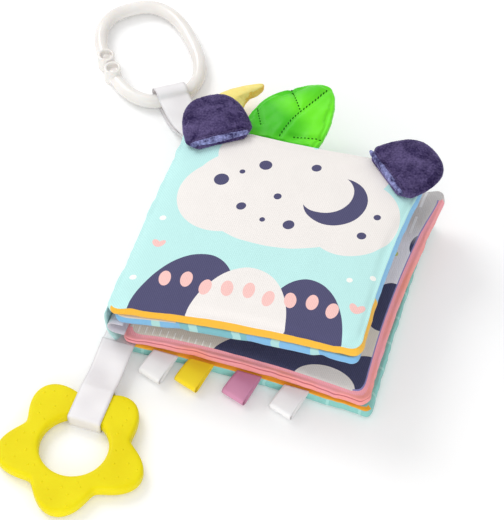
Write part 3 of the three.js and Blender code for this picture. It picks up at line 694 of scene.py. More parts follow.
def at_rim(vert):
    """0 inside a leaf and 1 at its rim."""
    near = max(abs(vert.co.x) / (LEAF_W / 2), abs(vert.co.y) / (LEAF_D / 2))
    return clamp((near - 0.93) / 0.05)


def waver(vert, scale, seed=0.0):
    """Slow noise over a pad, as seen from above."""
    return noise.noise(Vector((vert.co.x, vert.co.y, 0)) * scale + Vector((0, 0, seed)))

# %% Work a pad's side and face
def crease(piece, low, high, depth, wander=0.0):
    """Presses a line round a pad's side, between two heights, where a seam pulls it in."""
    for vert in piece.data.vertices:
        middle = (low + high) / 2 + wander * waver(vert, 0.045)
        share = 1 - abs(vert.co.z - middle) / ((high - low) / 2)
        if share > 0:
            inward = -Vector((vert.normal.x, vert.normal.y, 0))
            vert.co += inward * depth * min(1, share * 1.4)
    piece.data.update()


def ripple(piece, lift, gather, seed, low=0.0, high=99.0):
    """Lets a leaf's rim wander up and down, and gathers its side in small uneven tucks."""
    for vert in piece.data.vertices:
        rim = at_rim(vert)
        if rim:
            tuck = waver(vert, 0.21, seed + 7) + 0.5 * waver(vert, 0.45)
            vert.co.z = clamp(vert.co.z + lift * rim * waver(vert, 0.055, seed), low, high)
            vert.co += Vector((vert.normal.x, vert.normal.y, 0)) * gather * rim * (tuck - 0.25)
    piece.data.update()


def pinch(piece, places, width, depth, lift, below=99.0):
    """Draws the front side in at places along it, as a hard tuck in the seam does."""
    for vert in piece.data.vertices:
        rim = at_rim(vert)
        if rim and vert.co.y < -LEAF_D / 2 + 9 and vert.co.z < below:
            for x in places:
                share = math.exp(-abs((vert.co.x - x) / width) ** 1.3) * rim
                vert.co.y += depth * share
                vert.co.z += lift * share
    piece.data.update()

# %% Place the cover
COVER_X, COVER_Z = 80.9, 12.8
UPPER_X, UPPER_Z, LOWER_Z = 81.4, 4.5, 8.3


def on_cover(x, y, z):
    """The cover's left side reaches over to the spine cloth and rolls down to it."""
    roll = clamp((-60.0 - x) / 16.5) ** 2
    return on_upper(x + COVER_X - 4.2 * roll, y,
                    z * (1 - 0.06 * roll) + COVER_Z - 1.4 * roll + twist(x, y))


def wander(piece, low, high, amount, seed):
    """Lets the seam at the top of a leaf's side run a little up and down."""
    for vert in piece.data.vertices:
        if at_rim(vert) > 0.5 and low < vert.co.z < high:
            drift = waver(vert, 0.05, seed) + 0.5 * waver(vert, 0.14, seed)
            vert.co.z = clamp(vert.co.z + amount * drift, low, high)
    piece.data.update()


def rumple(piece, height, seed):
    """Soft, shallow waves over a leaf's upper face."""
    for vert in piece.data.vertices:
        if vert.co.z > 7.6:
            vert.co.z += height * (waver(vert, 0.045, seed) + 0.4 * waver(vert, 0.12, seed))
    piece.data.update()


LAYERS = ("top_cloth", "lower_cloth", "wadding", "crinkle_film")


def dress(piece, body, finishes):
    """Gives a leaf its cloths, and lets it take the place of the leaf's four layers in the model."""
    for material in finishes:
        piece.data.materials.append(material)
    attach(piece, body)
    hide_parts(*[body + "_" + layer for layer in LAYERS])
    print(piece.name, "rides on", body)


crease(cover, 5.2, 7.6, 0.5)
wander(cover, 5.0, 7.9, 2.2, 5.0)
rumple(cover, 0.55, 8.0)
ripple(cover, 1.0, 1.1, 3.0)
settle(cover, on_cover)
dress(cover, "front_cover", (cover_print, cover_edge, mustard_cloth))

# %% [markdown]
# ## The other three leaves
# The upper page faces down into the opening, the lower page faces up, and the back cover lies on the
# table. They are made in the same way, and each is kept flat on the side where a neighbour rests.

# %% The other leaves
upper = leaf_pad("upper_page_pad", leaf_shape(5.5, right=5.0), (2.4, 0.0),
                 lambda u, v: 6.4 if u < -0.5 else EDGE)
puff(upper, *LEAF_FILL, high=EDGE)
crease(upper, 4.9, 6.5, 0.5)
ripple(upper, 0.9, 0.8, 11.0, low=-9.0, high=EDGE)
pinch(upper, (-35.5, 7.8, 52.0), 3.0, 2.4, 2.6, below=4.5)
settle(upper, lambda x, y, z: on_upper(x + UPPER_X - 2.8 * max(0, x / (LEAF_W / 2)) ** 3, y,
                                       z + UPPER_Z + twist(x, y)))


def print_reaches_back(u, v):
    """The lower page's side is pink, except at the back, where the print goes over the edge."""
    return -1.0 if v > 0.94 else EDGE


lower = leaf_pad("lower_page_pad", leaf_shape(6.5), (0.0, 2.4), print_reaches_back)
puff(lower, *LEAF_FILL, low=0.0)
crease(lower, 4.6, 6.6, 1.0, wander=1.0)
ripple(lower, 0.8, 1.2, 19.0)
pinch(lower, (-30.7, 16.3), 2.8, 3.2, -0.8)


def on_lower(x, y, z):
    """The back right corner stands a little out of the stack, and the front left one is nipped at
    the spine."""
    out = max(0.0, (x / LEAF_W + 0.5) * (y / LEAF_D + 0.5)) ** 2
    nip = clamp((-50 - x) / 26) * clamp((-52 - y) / 18)
    return on_book(x - 1.0 + 5.0 * out, y + 5.5 * out ** 2,
                   z * (1 - 0.45 * nip + 0.35 * out ** 2) + LOWER_Z + curl(x, y) + 4.0 * out ** 2)


def back_seam(u, v):
    """Mustard shows at the front, and on the right only as a line on the top, inside a teal border."""
    return 6.4 if v < -0.97 else EDGE


settle(lower, on_lower)
back = leaf_pad("back_cover_pad", leaf_shape(4.5, front=2.0, right=1.5), (0.0, 0.0), back_seam,
                lambda u, v: u > 1 - 4 / CELLS)
puff(back, 3.0, 14, 0.06, 5.6, 5.8, 0.7, 0.8, low=0.0, high=EDGE)
crease(back, 4.6, 6.4, 0.6)
ripple(back, 0.8, 1.1, 27.0, high=EDGE)
settle(back, lambda x, y, z: on_book(x + (1.8 - 4.0 * (y / LEAF_D + 0.5)) * max(0, x / (LEAF_W / 2)),
                                     y + 1.2 * min(0, y / (LEAF_D / 2)), z))
dress(upper, "upper_page", (beige_cloth, blue_edge, lilac_cloth))
dress(lower, "lower_page", (page_print, pink_edge, pink_cloth))
dress(back, "back_cover", (mustard_edge, teal_edge, teal_cloth))

# %% [markdown]
# ## Tabs cut to a free shape
# The ears, the crescent and the satin leaf are small stuffed tabs. Their outlines are already in the CAD
# model, so a ring of rays finds each one again. A section is spun about the tab's middle, pushed out to
# that outline and remeshed to even faces. Drawing the outline a second time would only invite it to
# drift from the solid that it stands for.

# %% Find a tab's outline
def tab_outline(node_name, place, height, rounding=2, count=240):
    """How far the CAD solid reaches all round the tab's middle, at a height in the tab's own frame."""
    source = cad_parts[node_name].data
    source.calc_loop_triangles()
    tree = BVHTree.FromPolygons([v.co for v in source.vertices],
                                [list(t.vertices) for t in source.loop_triangles])
    centre = place(0, 0, height)
    reaches, missed = [], 0
    for k in range(count):
        turn = 2 * math.pi * k / count
        far = place(45 * math.cos(turn), 45 * math.sin(turn), height)
        hit = tree.ray_cast(far * MM, (centre - far).normalized(), 0.045)[0]
        missed += hit is None
        reaches.append((hit / MM - centre).length if hit else reaches[-1])
    for _ in range(rounding):
        reaches = [(before + 2 * here + after) / 4 for before, here, after in
                   zip(reaches[-1:] + reaches, reaches, reaches[1:] + reaches[:1])]

    def reach(u, v):
        share = (math.atan2(v, u) / (2 * math.pi)) % 1 * count
        k = int(share) % count
        return reaches[k] + (reaches[(k + 1) % count] - reaches[k]) * (share - int(share))
    print(node_name, "reaches", round(min(reaches), 1), "to", round(max(reaches), 1), "mm,",
          missed, "rays missed")
    return reach

# %% A pad for a tab
def tab_pad(name, reach, edge, rounds, crown, voxel):
    """A closed pad lying flat, in millimetres: a section spun about its middle, pushed out to an
    outline, and remeshed to even faces so that the filling swells it evenly."""
    low, high = rounds
    rings = [(k / 12, low, 0.0) for k in range(13)]
    quarter = [(1 - math.sin(math.radians(t)), 1 - math.cos(math.radians(t))) for t in (0, 30, 60, 90)]
    rings += [(1.0, low * s, low * c) for s, c in quarter[1:]]
    rings += [(1.0, high * c, edge - high * s) for s, c in quarter]
    rings += [(k / 12, high, edge + crown * (1 - (k / 12) ** 2.2)) for k in range(11, -1, -1)]
    bm = bmesh.new()
    section = [bm.verts.new((share, 0, level)) for level, (share, inset, z) in enumerate(rings)]
    for a, b in zip(section, section[1:]):
        bm.edges.new((a, b))
    bmesh.ops.spin(bm, geom=bm.verts[:] + bm.edges[:], cent=(0, 0, 0), axis=(0, 0, 1), angle=2 * math.pi,
                   steps=160, use_merge=True)
    bmesh.ops.remove_doubles(bm, verts=bm.verts[:], dist=0.0001)
    bmesh.ops.recalc_face_normals(bm, faces=bm.faces[:])
    for vert in bm.verts:
        share, inset, z = rings[round(vert.co.z)]
        flat = Vector((vert.co.x, vert.co.y))
        if share:
            flat = flat.normalized() * (reach(flat.x, flat.y) - inset) * share
        vert.co = (flat.x, flat.y, z)
    piece = new_piece(name, bm)
    remesh(piece, voxel, 2)
    return piece


def remesh(piece, voxel, times):
    """Melts a piece into one skin of small even faces, and smooths it a few times."""
    even = piece.modifiers.new("even", "REMESH")
    even.mode, even.voxel_size, even.use_smooth_shade = "VOXEL", voxel, True
    bpy.context.view_layer.update()
    graph = bpy.context.evaluated_depsgraph_get()
    piece.data = bpy.data.meshes.new_from_object(piece.evaluated_get(graph))
    piece.modifiers.clear()
    bm = bmesh.new()
    bm.from_mesh(piece.data)
    for _ in range(times):
        bmesh.ops.smooth_vert(bm, verts=bm.verts[:], factor=0.5,
                              use_axis_x=True, use_axis_y=True, use_axis_z=True)
    bm.to_mesh(piece.data)
    bm.free()
    print(piece.name, "has", len(piece.data.vertices), "points")


def press(piece, lines, depth, width, above):
    """Presses lines of stitching into a flat pad's upper face. A line is a list of points in
    millimetres."""
    for vert in piece.data.vertices:
        if vert.co.z <= above:
            continue
        flat = Vector((vert.co.x, vert.co.y))
        near = 1e9
        for line in lines:
            for start, end in zip(line, line[1:]):
                a, b = Vector(start), Vector(end)
                share = clamp((flat - a).dot(b - a) / (b - a).length_squared)
                near = min(near, (flat - a.lerp(b, share)).length)
        vert.co.z -= depth * math.exp(-((near / width) ** 2))
    piece.data.update()


# %% [markdown]
# ## Stitches
# Where thread shows, it shows as a row of short dashes that sink a little into the cloth. Each dash is a
# stretched ico sphere, laid along the line where a ray from above meets the finished surface.

# %% Rows of stitches
def surface_tree(piece):
    """A search tree of a piece as it renders, in the book's frame."""
    graph = bpy.context.evaluated_depsgraph_get()
    bpy.context.view_layer.update()
    shown = piece.evaluated_get(graph)
    mesh = shown.to_mesh()
    tree = BVHTree.FromPolygons([shown.matrix_world @ v.co for v in mesh.vertices],
                                [list(p.vertices) for p in mesh.polygons])
    shown.to_mesh_clear()
    return tree


def walk(line, spacing):
    """Points along a polyline, a spacing apart, each with its direction."""
    points, left = [], spacing / 2
    for start, end in zip(line, line[1:]):
        a, b = Vector(start), Vector(end)
        step, along = (b - a).length, (b - a).normalized()
        while left <= step:
            points.append((a + along * left, along))
            left += spacing
        left -= step
    return points


STITCH_TOP = 12


def stitches(name, piece, lines, place, spacing, length, girth, material, skew=0.0, sink=0.3):
    """Dashes along lines that are drawn in a tab's flat frame, laid on the tab from above."""
    tree = surface_tree(piece)
    bm = bmesh.new()
    made = 0
    for line in lines:
        for point, along in walk(line, spacing):
            above = place(point.x, point.y, STITCH_TOP)
            below = place(point.x, point.y, STITCH_TOP - 10)
            hit, normal = tree.ray_cast(above * MM, (below - above).normalized(), 0.03)[:2]
            if hit is None:
                continue
            ahead = place(point.x + along.x, point.y + along.y, STITCH_TOP) - above
            ahead = (ahead - normal * ahead.dot(normal)).normalized()
            ahead = Matrix.Rotation(math.radians(skew), 3, normal) @ ahead
            side = normal.cross(ahead)
            turn = Matrix((ahead, side, normal)).transposed().to_4x4()
            size = Matrix.Diagonal((length / 2 * MM, girth / 2 * MM, girth / 2 * MM, 1))
            seat = Matrix.Translation(hit - normal * girth * sink * MM)
            bmesh.ops.create_icosphere(bm, subdivisions=2, radius=1.0, matrix=seat @ turn @ size)
            made += 1
    print(name, "has", made, "stitches")
    return new_piece(name, bm, material, smooth=True)

# %% Thread
def thread(name, tone, shine=0.4):
    """Twisted sewing thread: a slight shine and fine diagonal strands."""
    material, tree, shader = new_surface(name, 0.5, sheen=0.5 * shine, specular=shine)
    place = on_object(tree)
    strand = add_node(tree, "TexWave", {"Vector": place, "Scale": 900.0, "Distortion": 0.5},
                      bands_direction="DIAGONAL").outputs["Fac"]
    colour = paint(tree, [0.8 * c for c in tone], strand, tone)
    finish(tree, shader, colour, strand, 0.4, 0.0002)
    return material


indigo_thread = thread("indigo_thread", (0.13, 0.11, 0.24))
green_thread = thread("green_thread", (0.05, 0.38, 0.01), 0.04)
print("two threads")

# %% [markdown]
# ## Plush ears
# Two half-round ears of dark indigo plush stand on the cover's back corners, each with a narrow rolled
# hem, a piece of its own, along its base. A hair system would look right but can't leave Blender, so
# the pile is real geometry: every small face is poked out to a low point of its own height and lean.

# %% Plush material
def plush_cloth(name, dark, light, blotches):
    """Short plush: a mottled nap, a fine tuft and a sheen that pales where it is seen edge on."""
    material, tree, shader = new_surface(name, 0.95, sheen=0.6, specular=0.05)
    shader.inputs["Sheen Tint"].default_value = rgb((0.72, 0.68, 0.88))
    place = on_object(tree)
    nap = mottle(tree, place, blotches, 3.0, 0.6)
    tuft = mottle(tree, place, 800.0, 2.0)
    level = sum_of(tree, product(tree, nap, 0.62), product(tree, tuft, 0.38))
    finish(tree, shader, two_tone(tree, level, 0.38, 0.66, dark, light), tuft, 0.8, 0.0006)
    return material


plush = plush_cloth("plush", (0.18, 0.14, 0.30), (0.44, 0.39, 0.57), 70.0)
# The hem's pale lavender is partly the plush's own paler back and partly painted sheen where the roll
# catches the light.
hem_plush_and_painted_sheen = plush_cloth("hem_plush_and_painted_sheen", (0.18, 0.16, 0.32), (0.64, 0.66, 0.88), 190.0)
print("plush for the ears and for their hems")

# %% Ears
EAR_SEAT = 9.67


def make_ear(name, middle_x, middle_y, turn_degrees, lean, wide, tall):
    """An ear on the cover's corner. The filled pile carries it a little past its cloth, leaned a few
    degrees."""
    def seat(degrees):
        turn = math.radians(degrees)

        def place(x, y, z):
            on_x = middle_x + x * math.cos(turn) - y * math.sin(turn)
            on_y = middle_y + x * math.sin(turn) + y * math.cos(turn)
            return on_upper(on_x + COVER_X, on_y, z + EAR_SEAT + COVER_Z + twist(on_x, on_y))
        return place
    outline = tab_outline(name + "_back_plush", seat(turn_degrees), 2.9)
    place = seat(turn_degrees + lean)

    def reach(u, v):
        drawn = max(1e-9, math.hypot(u / wide, v / tall))
        return outline(u / wide, v / tall) * math.hypot(u, v) / drawn
    ear = tab_pad(name + "_pad", reach, 5.4, (2.2, 2.6), 2.0, 0.62)
    puff(ear, 4.0, 12, 0.04, 2.2, 3.4, 0.7, 0.6, low=0.0)
    hem_y = 2.5 - reach(0, -1)
    half = max(x for x in range(5, 24) if reach(x, hem_y + 1.5) > math.hypot(x, hem_y + 1.5))
    hem_line = [(-half, hem_y + 2.9), (half, hem_y + 2.9)]
    press(ear, [hem_line], 1.0, 0.9, 3.4)
    settle(ear, place, levels=0)
    row = stitches(name + "_stitches", ear, [hem_line], place, 2.4, 1.5, 0.7, indigo_thread)
    bm = bmesh.new()
    bm.from_mesh(ear.data)
    tips = bmesh.ops.poke(bm, faces=bm.faces[:], offset=0.0)["verts"]
    bm.normal_update()
    pile = random.Random(name)
    for tip in tips:
        combed = noise.noise_vector(tip.co * 110.0) * 0.22
        stray = Vector((pile.uniform(-1, 1), pile.uniform(-1, 1), pile.uniform(-1, 1))) * 0.07
        tip.co += (tip.normal * pile.uniform(0.18, 0.40) + combed + stray) * MM
    for face in bm.faces:
        face.smooth = True
    bm.to_mesh(ear.data)
    bm.free()
    ear.data.materials.append(plush)
    hem = make_hem(name + "_hem", place, hem_y, half)
    for piece in (ear, row, hem):
        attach(piece, name)
    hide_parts(name + "_front_plush", name + "_back_plush", name + "_filling")
    print(ear.name, len(ear.data.polygons), "faces, hem", 2 * half, "mm long")


def make_hem(name, place, hem_y, half):
    """A hem along an ear's base: a sphere drawn out to a roll with full ends and small tucks."""
    bm = bmesh.new()
    bmesh.ops.create_uvsphere(bm, u_segments=28, v_segments=90, radius=1.0)
    bmesh.ops.rotate(bm, verts=bm.verts[:], matrix=Matrix.Rotation(math.pi / 2, 3, "Y"))
    for vert in bm.verts:
        x, y, z = vert.co
        full = max(0.04, 1 - x * x) ** -0.27
        tuck = (1 + 0.10 * noise.noise(Vector((x * 13, y, z)))
                + 0.06 * noise.noise(Vector((x * 41, y * 2, z * 2))))
        flat = (x * (half - 0.9), hem_y + y * full * tuck * 1.9, 4.3 + z * full * tuck * 2.4)
        vert.co = place(*flat) * MM
    return new_piece(name, bm, hem_plush_and_painted_sheen, smooth=True)


make_ear("left_ear", -61.8, 72.8, 30, 2, 1.07, 1.11)
make_ear("right_ear", 63.9, 67.9, -42, -4, 1.16, 1.03)

# %% [markdown]
# ## Yellow crescent
# A crescent of short velour is sewn to the lower page's back edge. It is painted paler on the face that
# looks up, as painted light, and a deeper yellow round its side, as painted shade. Velour is too short
# to model, so a fine noise bump and a sheen carry it.

# %% Velour
def velour(name, tone, deep):
    material, tree, shader = new_surface(name, 0.92, sheen=0.5, specular=0.05)
    shader.inputs["Sheen Tint"].default_value = rgb((1.0, 0.95, 0.80))
    place = on_object(tree)
    nap = mottle(tree, place, 90.0, 4.0)
    fuzz = mottle(tree, place, 1400.0, 2.0)
    level = sum_of(tree, nap, product(tree, fuzz, 0.35))
    finish(tree, shader, two_tone(tree, level, 0.5, 0.85, deep, tone), fuzz, 0.8, 0.0004)
    return material


# One velour in two tones: paler where it faces up, as painted light, and deeper round the side, as
# painted shade.
velour_face_painted_light = velour("velour_face_painted_light", (1.0, 0.95, 0.60), (1.0, 0.89, 0.48))
velour_side_painted_shade = velour("velour_side_painted_shade", (1.0, 0.86, 0.42), (0.98, 0.76, 0.28))


def at_crescent(x, y, z):
    return on_book(x - 72.06, y + 113.73, z + 9.1)


reach = tab_outline("crescent_back_cloth", at_crescent, 3.5, rounding=3)
crescent = tab_pad("crescent_pad", reach, 6.4, (2.4, 2.8), 1.6, 0.8)
puff(crescent, 4.0, 12, 0.04, 3.0, 4.0, 0.7, 0.5, low=0.0)
# Faces that look up take the paler velour, as painted light; the rest take the deeper one, as painted
# shade.
for polygon in crescent.data.polygons:
    polygon.material_index = 0 if polygon.center.z > 4.6 and polygon.normal.z > 0.45 else 1
settle(crescent, at_crescent)
crescent.data.materials.append(velour_face_painted_light)
crescent.data.materials.append(velour_side_painted_shade)
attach(crescent, "crescent")
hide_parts("crescent_front_cloth", "crescent_back_cloth", "crescent_filling")

# %% [markdown]
# ## Satin leaf
# The green leaf is a thin pad of satin, quilted by a thick dark-green thread along its veins. The thread
# draws the satin in, and soft folds run out from it. Gentle waves are added across the leaf first, then
# the veins are pressed in, and the stitches are laid in the furrows.

# %% Satin material
green_satin, tree, shader = new_surface("green_satin", 0.42, sheen=0.1)
place = mapped(tree, on_object(tree), (1000, 1000, 1000))
# Painted light and shade: broad soft paler and darker greens, as satin shows over its folds.
painted_fold_shading = mottle(tree, place, 0.035, 0.0)
slub = mottle(tree, place, 1.2)
weft = ribs(tree, mapped(tree, place, turn=90), 0.45)
finish(tree, shader, two_tone(tree, painted_fold_shading, 0.38, 0.62, (0.24, 0.76, 0.02), (0.43, 0.93, 0.10)),
       sum_of(tree, weft, product(tree, slub, 0.8)), 0.25, 0.00015)
print("green satin")

# %% Satin leaf


def at_leaf_tab(x, y, z):
    return on_upper(x + 59.5, y + 99.15, z + 6.5)


def from_corner(*points):
    return [(x - 28.6, y - 23.85) for x, y in points]


main_vein = from_corner((26.9, 4.0), (30.2, 17.5), (33.7, 26.4), (39.8, 37.4), (45.0, 48.5))
left_vein = from_corner((21.7, 44.6), (26.9, 36.6), (33.2, 27.4))
low_vein = from_corner((5.8, 24.9), (9.0, 18.5), (12.7, 11.5))
base_row = from_corner((34.8, 6.2), (44.8, 6.6), (53.4, 8.2))
reach = tab_outline("cloth_leaf_back_cloth", at_leaf_tab, 2.0)
leaf_tab = tab_pad("satin_leaf", reach, 4.0, (1.5, 1.7), 1.8, 0.85)
puff(leaf_tab, 5.0, 14, 0.05, 1.6, 2.6, 0.8, 0.5, low=0.0)
for vert in leaf_tab.data.vertices:
    if vert.co.z > 2.0:
        flat = Vector((vert.co.x, vert.co.y, 0))
        rim = min(1.0, (reach(flat.x, flat.y) - flat.length) / 6)
        wave = noise.noise(Vector((flat.x * 0.11 - flat.y * 0.06, flat.y * 0.04 + 3, 1.7)))
        vert.co.z += 1.6 * rim * wave + 0.35 * rim * waver(vert, 0.2)
press(leaf_tab, [main_vein, left_vein, low_vein, base_row], 1.3, 1.9, 2.0)
settle(leaf_tab, at_leaf_tab)
leaf_tab.data.materials.append(green_satin)
veins = stitches("leaf_veins", leaf_tab, [main_vein], at_leaf_tab, 2.5, 2.4, 0.8, green_thread,
                 skew=24, sink=0.0)
small_veins = stitches("leaf_side_stitches", leaf_tab, [left_vein, low_vein, base_row], at_leaf_tab,
                       2.3, 1.5, 0.95, green_thread, sink=0.1)
for piece in (leaf_tab, veins, small_veins):
    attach(piece, "cloth_leaf")
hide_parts("cloth_leaf_front_cloth", "cloth_leaf_back_cloth", "cloth_leaf_filling")

# %% [markdown]
# ## Link ring
# A toy link is one moulded bar bent to a flat oval, with a short upright barrel at each of its two ends.
# The bar is a curve with a round bevel, the barrels are capped cones with a bored top, and a voxel
# remesh melts them into one skin with the small fillets that a mould leaves.

# %% Ring material
ring_plastic, tree, shader = new_surface("ring_plastic", 0.24, specular=0.5, coat=0.15)
shader.inputs["Coat Roughness"].default_value = 0.12
shader.inputs["Subsurface Weight"].default_value = 0.15
shader.inputs["Subsurface Radius"].default_value = (0.004, 0.003, 0.002)
place = on_object(tree)
flow, skin = mottle(tree, place, 40.0), mottle(tree, place, 260.0, 3.0)
finish(tree, shader, two_tone(tree, flow, 0.35, 0.65, (0.90, 0.88, 0.86), (0.94, 0.925, 0.91)),
       skin, 0.06, 0.0004)
print("ring plastic")

# %% Ring
RING_MIDDLE = Vector((-137.52, 145.42, 5.3))
RING_TURN = math.radians(130)
HALF_LONG, HALF_WIDE, BAR_R, JOINT = 40.8, 28.6, 4.4, 0.253
BARREL_R, BARREL_TOP_R, BARREL_TALL, HALF_GAP = 5.6, 5.45, 12, 0.25
BORE_WALL, BORE_DEPTH, BAR_STEPS = 1.75, 3, 119


def on_oval(share):
    """A place on the bar's middle line, in the ring's own frame."""
    turn = 2 * math.pi * share
    c, s = math.cos(turn), math.sin(turn)
    return Vector((HALF_LONG * math.copysign(abs(c) ** 0.8, c),
                   HALF_WIDE * math.copysign(abs(s) ** 0.8, s), 0))


def barrel_place(direction):
    """Walks from the joint until a barrel's radius and half the gap have been covered."""
    share, joint = JOINT, on_oval(JOINT)
    while (on_oval(share) - joint).length < BARREL_R + HALF_GAP:
        share += direction / 2000
    return share


first, last = barrel_place(1), barrel_place(-1) + 1
turn_ring = Matrix.Translation(RING_MIDDLE) @ Matrix.Rotation(RING_TURN, 4, "Z")
path = bpy.data.curves.new("ring_bar", "CURVE")
path.dimensions = "3D"
path.bevel_depth, path.bevel_resolution = BAR_R, 7
line = path.splines.new("POLY")
line.points.add(BAR_STEPS)
for k, point in enumerate(line.points):
    point.co = (*on_oval(first + (last - first) * k / BAR_STEPS), 1)
path.use_fill_caps = True
bar = bpy.data.objects.new("ring_bar", path)
bpy.context.collection.objects.link(bar)
bpy.context.view_layer.update()
bm = bmesh.new()
solid = bar.evaluated_get(bpy.context.evaluated_depsgraph_get()).to_mesh()
bm.from_mesh(solid)
bpy.data.objects.remove(bar)
for share in (first, last):
    seat = Matrix.Translation(on_oval(share) + Vector((0, 0, BARREL_TALL / 2 - RING_MIDDLE.z)))
    barrel = bmesh.ops.create_cone(bm, cap_ends=True, segments=48, radius1=BARREL_R,
                                   radius2=BARREL_TOP_R, depth=BARREL_TALL, matrix=seat)
    lids = {f for v in barrel["verts"] for f in v.link_faces if len(f.verts) > 8 and f.normal.z > 0.9}
    bmesh.ops.inset_region(bm, faces=list(lids), thickness=BORE_WALL, use_even_offset=True)
    bore = bmesh.ops.extrude_discrete_faces(bm, faces=list(lids))["faces"]
    bmesh.ops.translate(bm, verts=[v for f in bore for v in f.verts], vec=(0, 0, -BORE_DEPTH))
bmesh.ops.recalc_face_normals(bm, faces=bm.faces[:])
bmesh.ops.transform(bm, matrix=Matrix.Scale(MM, 4) @ turn_ring, verts=bm.verts[:])
ring = new_piece("link_ring_skin", bm)
remesh(ring, 0.42 * MM, 6)
ring.data.materials.clear()
ring.data.materials.append(ring_plastic)
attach(ring, "link_ring")
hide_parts("link_ring")
print("ring:", len(ring.data.polygons), "faces")

# %% [markdown]
# ## Teether
# A flat five-lobed ring of soft yellow rubber with small raised dots that a baby can feel. Its section,
# a rounded bar, is spun round the hole, and then only the outer part is pushed out to the lobes, so the
# rounding stays the same all the way round. The dots are low domes set into the upper and lower faces.

# %% Teether material
teether_rubber, tree, shader = new_surface("teether_rubber", 0.46, sheen=0.02, specular=0.14)
shader.inputs["Subsurface Weight"].default_value = 0.12
shader.inputs["Subsurface Radius"].default_value = (0.004, 0.003, 0.001)
place = on_object(tree)
milky, fine = mottle(tree, place, 35.0, 3.0), mottle(tree, place, 1500.0)
finish(tree, shader, two_tone(tree, milky, 0.35, 0.65, (0.91, 0.84, 0.03), (0.94, 0.88, 0.07)),
       fine, 0.12, 0.0002)
print("teether rubber")

# %% Teether
TEETHER = Vector((-77.3, -148.74, 0.9))
VALLEY, TIP, HOLE, THICK, ROUND = 32.5, 44.5, 20.0, 8.0, 2.4
TEETHER_TURN, SPIN_STEPS = math.radians(96), 200
DOT_SIZE, DOT_SUNK = (0.85, 0.85, 0.55, 1), 0.25
DOT_TURNS = (-20, 0, 20, -11, 11, -23, 23, -4, 7)
DOT_REACHES = (29.0, 27.5, 29.0, 33.0, 33.5, 25.0, 25.0, 38.0, 40.0)


def lobe_reach(turn):
    """Centre to the outline, at a turn measured from the valley that the strap holds."""
    return VALLEY + (TIP - VALLEY) * ((1 - math.cos(5 * turn)) / 2) ** 0.8


bm = bmesh.new()
section = []
for corner_x, corner_z, start in ((HOLE + ROUND, ROUND, 180), (VALLEY - ROUND, ROUND, 270),
                                  (VALLEY - ROUND, THICK - ROUND, 0), (HOLE + ROUND, THICK - ROUND, 90)):
    for k in range(6):
        turn = math.radians(start + 18 * k)
        section.append(bm.verts.new((corner_x + ROUND * math.cos(turn), 0,
                                     corner_z + ROUND * math.sin(turn))))
rim = [bm.edges.new((a, b)) for a, b in zip(section, section[1:] + section[:1])]
flats = [e for e in rim if e.calc_length() > 3 * ROUND]
bmesh.ops.subdivide_edges(bm, edges=flats, cuts=5)
bmesh.ops.spin(bm, geom=bm.verts[:] + bm.edges[:], cent=(0, 0, 0), axis=(0, 0, 1), angle=2 * math.pi,
               steps=SPIN_STEPS, use_merge=True)
bmesh.ops.remove_doubles(bm, verts=bm.verts[:], dist=0.001)
bmesh.ops.recalc_face_normals(bm, faces=bm.faces[:])
for vert in bm.verts:
    radius = math.hypot(vert.co.x, vert.co.y)
    turn = math.atan2(vert.co.y, vert.co.x)
    share = clamp((radius - HOLE - ROUND) / (VALLEY - HOLE - 2 * ROUND))
    radius += (lobe_reach(turn) - VALLEY) * share
    turn += TEETHER_TURN
    vert.co.x, vert.co.y = radius * math.cos(turn), radius * math.sin(turn)
dots = 0
sprinkle = random.Random(5)
for lobe in range(5):
    for dot_turn, dot_reach in zip(DOT_TURNS, DOT_REACHES):
        turn = math.radians(36 + 72 * lobe + dot_turn + sprinkle.uniform(-3, 3)) + TEETHER_TURN
        out = dot_reach + sprinkle.uniform(-0.8, 0.8)
        for z in (THICK - DOT_SUNK, DOT_SUNK):
            at = Matrix.Translation((out * math.cos(turn), out * math.sin(turn), z))
            bmesh.ops.create_icosphere(bm, subdivisions=2, radius=1.0,
                                       matrix=at @ Matrix.Diagonal(DOT_SIZE))
        dots += 1
bmesh.ops.transform(bm, matrix=Matrix.Scale(MM, 4) @ Matrix.Translation(TEETHER), verts=bm.verts[:])
teether = new_piece("teether_body", bm, teether_rubber, smooth=True)
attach(teether, "teether")
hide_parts("teether")
print("teether:", dots, "dots on each face")

# %% [markdown]
# ## Ribbons
# The strap, the ring's ribbon and the four tags are satin ribbon with woven edges. Each is a grid laid
# along a smooth path in an upright plane, and the ring's ribbon and the tags also turn at the root, so
# that the end lies along the seam it is sewn into. A curve with a flat bevel would be quicker, but it
# can't turn at the root like that. A Solidify modifier gives the cloth its thickness.

# %% Helpers for ribbons
RIBBON_CELLS = 10


def smooth_path(points, parts=8):
    """A Catmull-Rom line through points, with some parts between each two."""
    line = [Vector(p) for p in points]
    line = [2 * line[0] - line[1]] + line + [2 * line[-1] - line[-2]]
    out = []
    for a, b, c, d in zip(line, line[1:], line[2:], line[3:]):
        for k in range(parts):
            t = k / parts
            out.append(0.5 * (2 * b + (c - a) * t + (2 * a - 5 * b + 4 * c - d) * t * t
                              + (3 * b - a - 3 * c + d) * t ** 3))
    return out + [line[-2]]


def arc(run, height, radius, start, end, steps):
    turns = [math.radians(start + (end - start) * k / steps) for k in range(steps + 1)]
    return [(run + radius * math.cos(turn), height + radius * math.sin(turn)) for turn in turns]


def even_path(points, step):
    """The same line with its points a step apart."""
    total = [0.0]
    for a, b in zip(points, points[1:]):
        total.append(total[-1] + (b - a).length)
    count = max(4, round(total[-1] / step))
    out, k = [], 0
    for n in range(count + 1):
        want = total[-1] * n / count
        while k < len(points) - 2 and total[k + 1] < want:
            k += 1
        share = (want - total[k]) / max(1e-9, total[k + 1] - total[k])
        out.append(points[k].lerp(points[k + 1], min(1, share)))
    return out, total[-1]

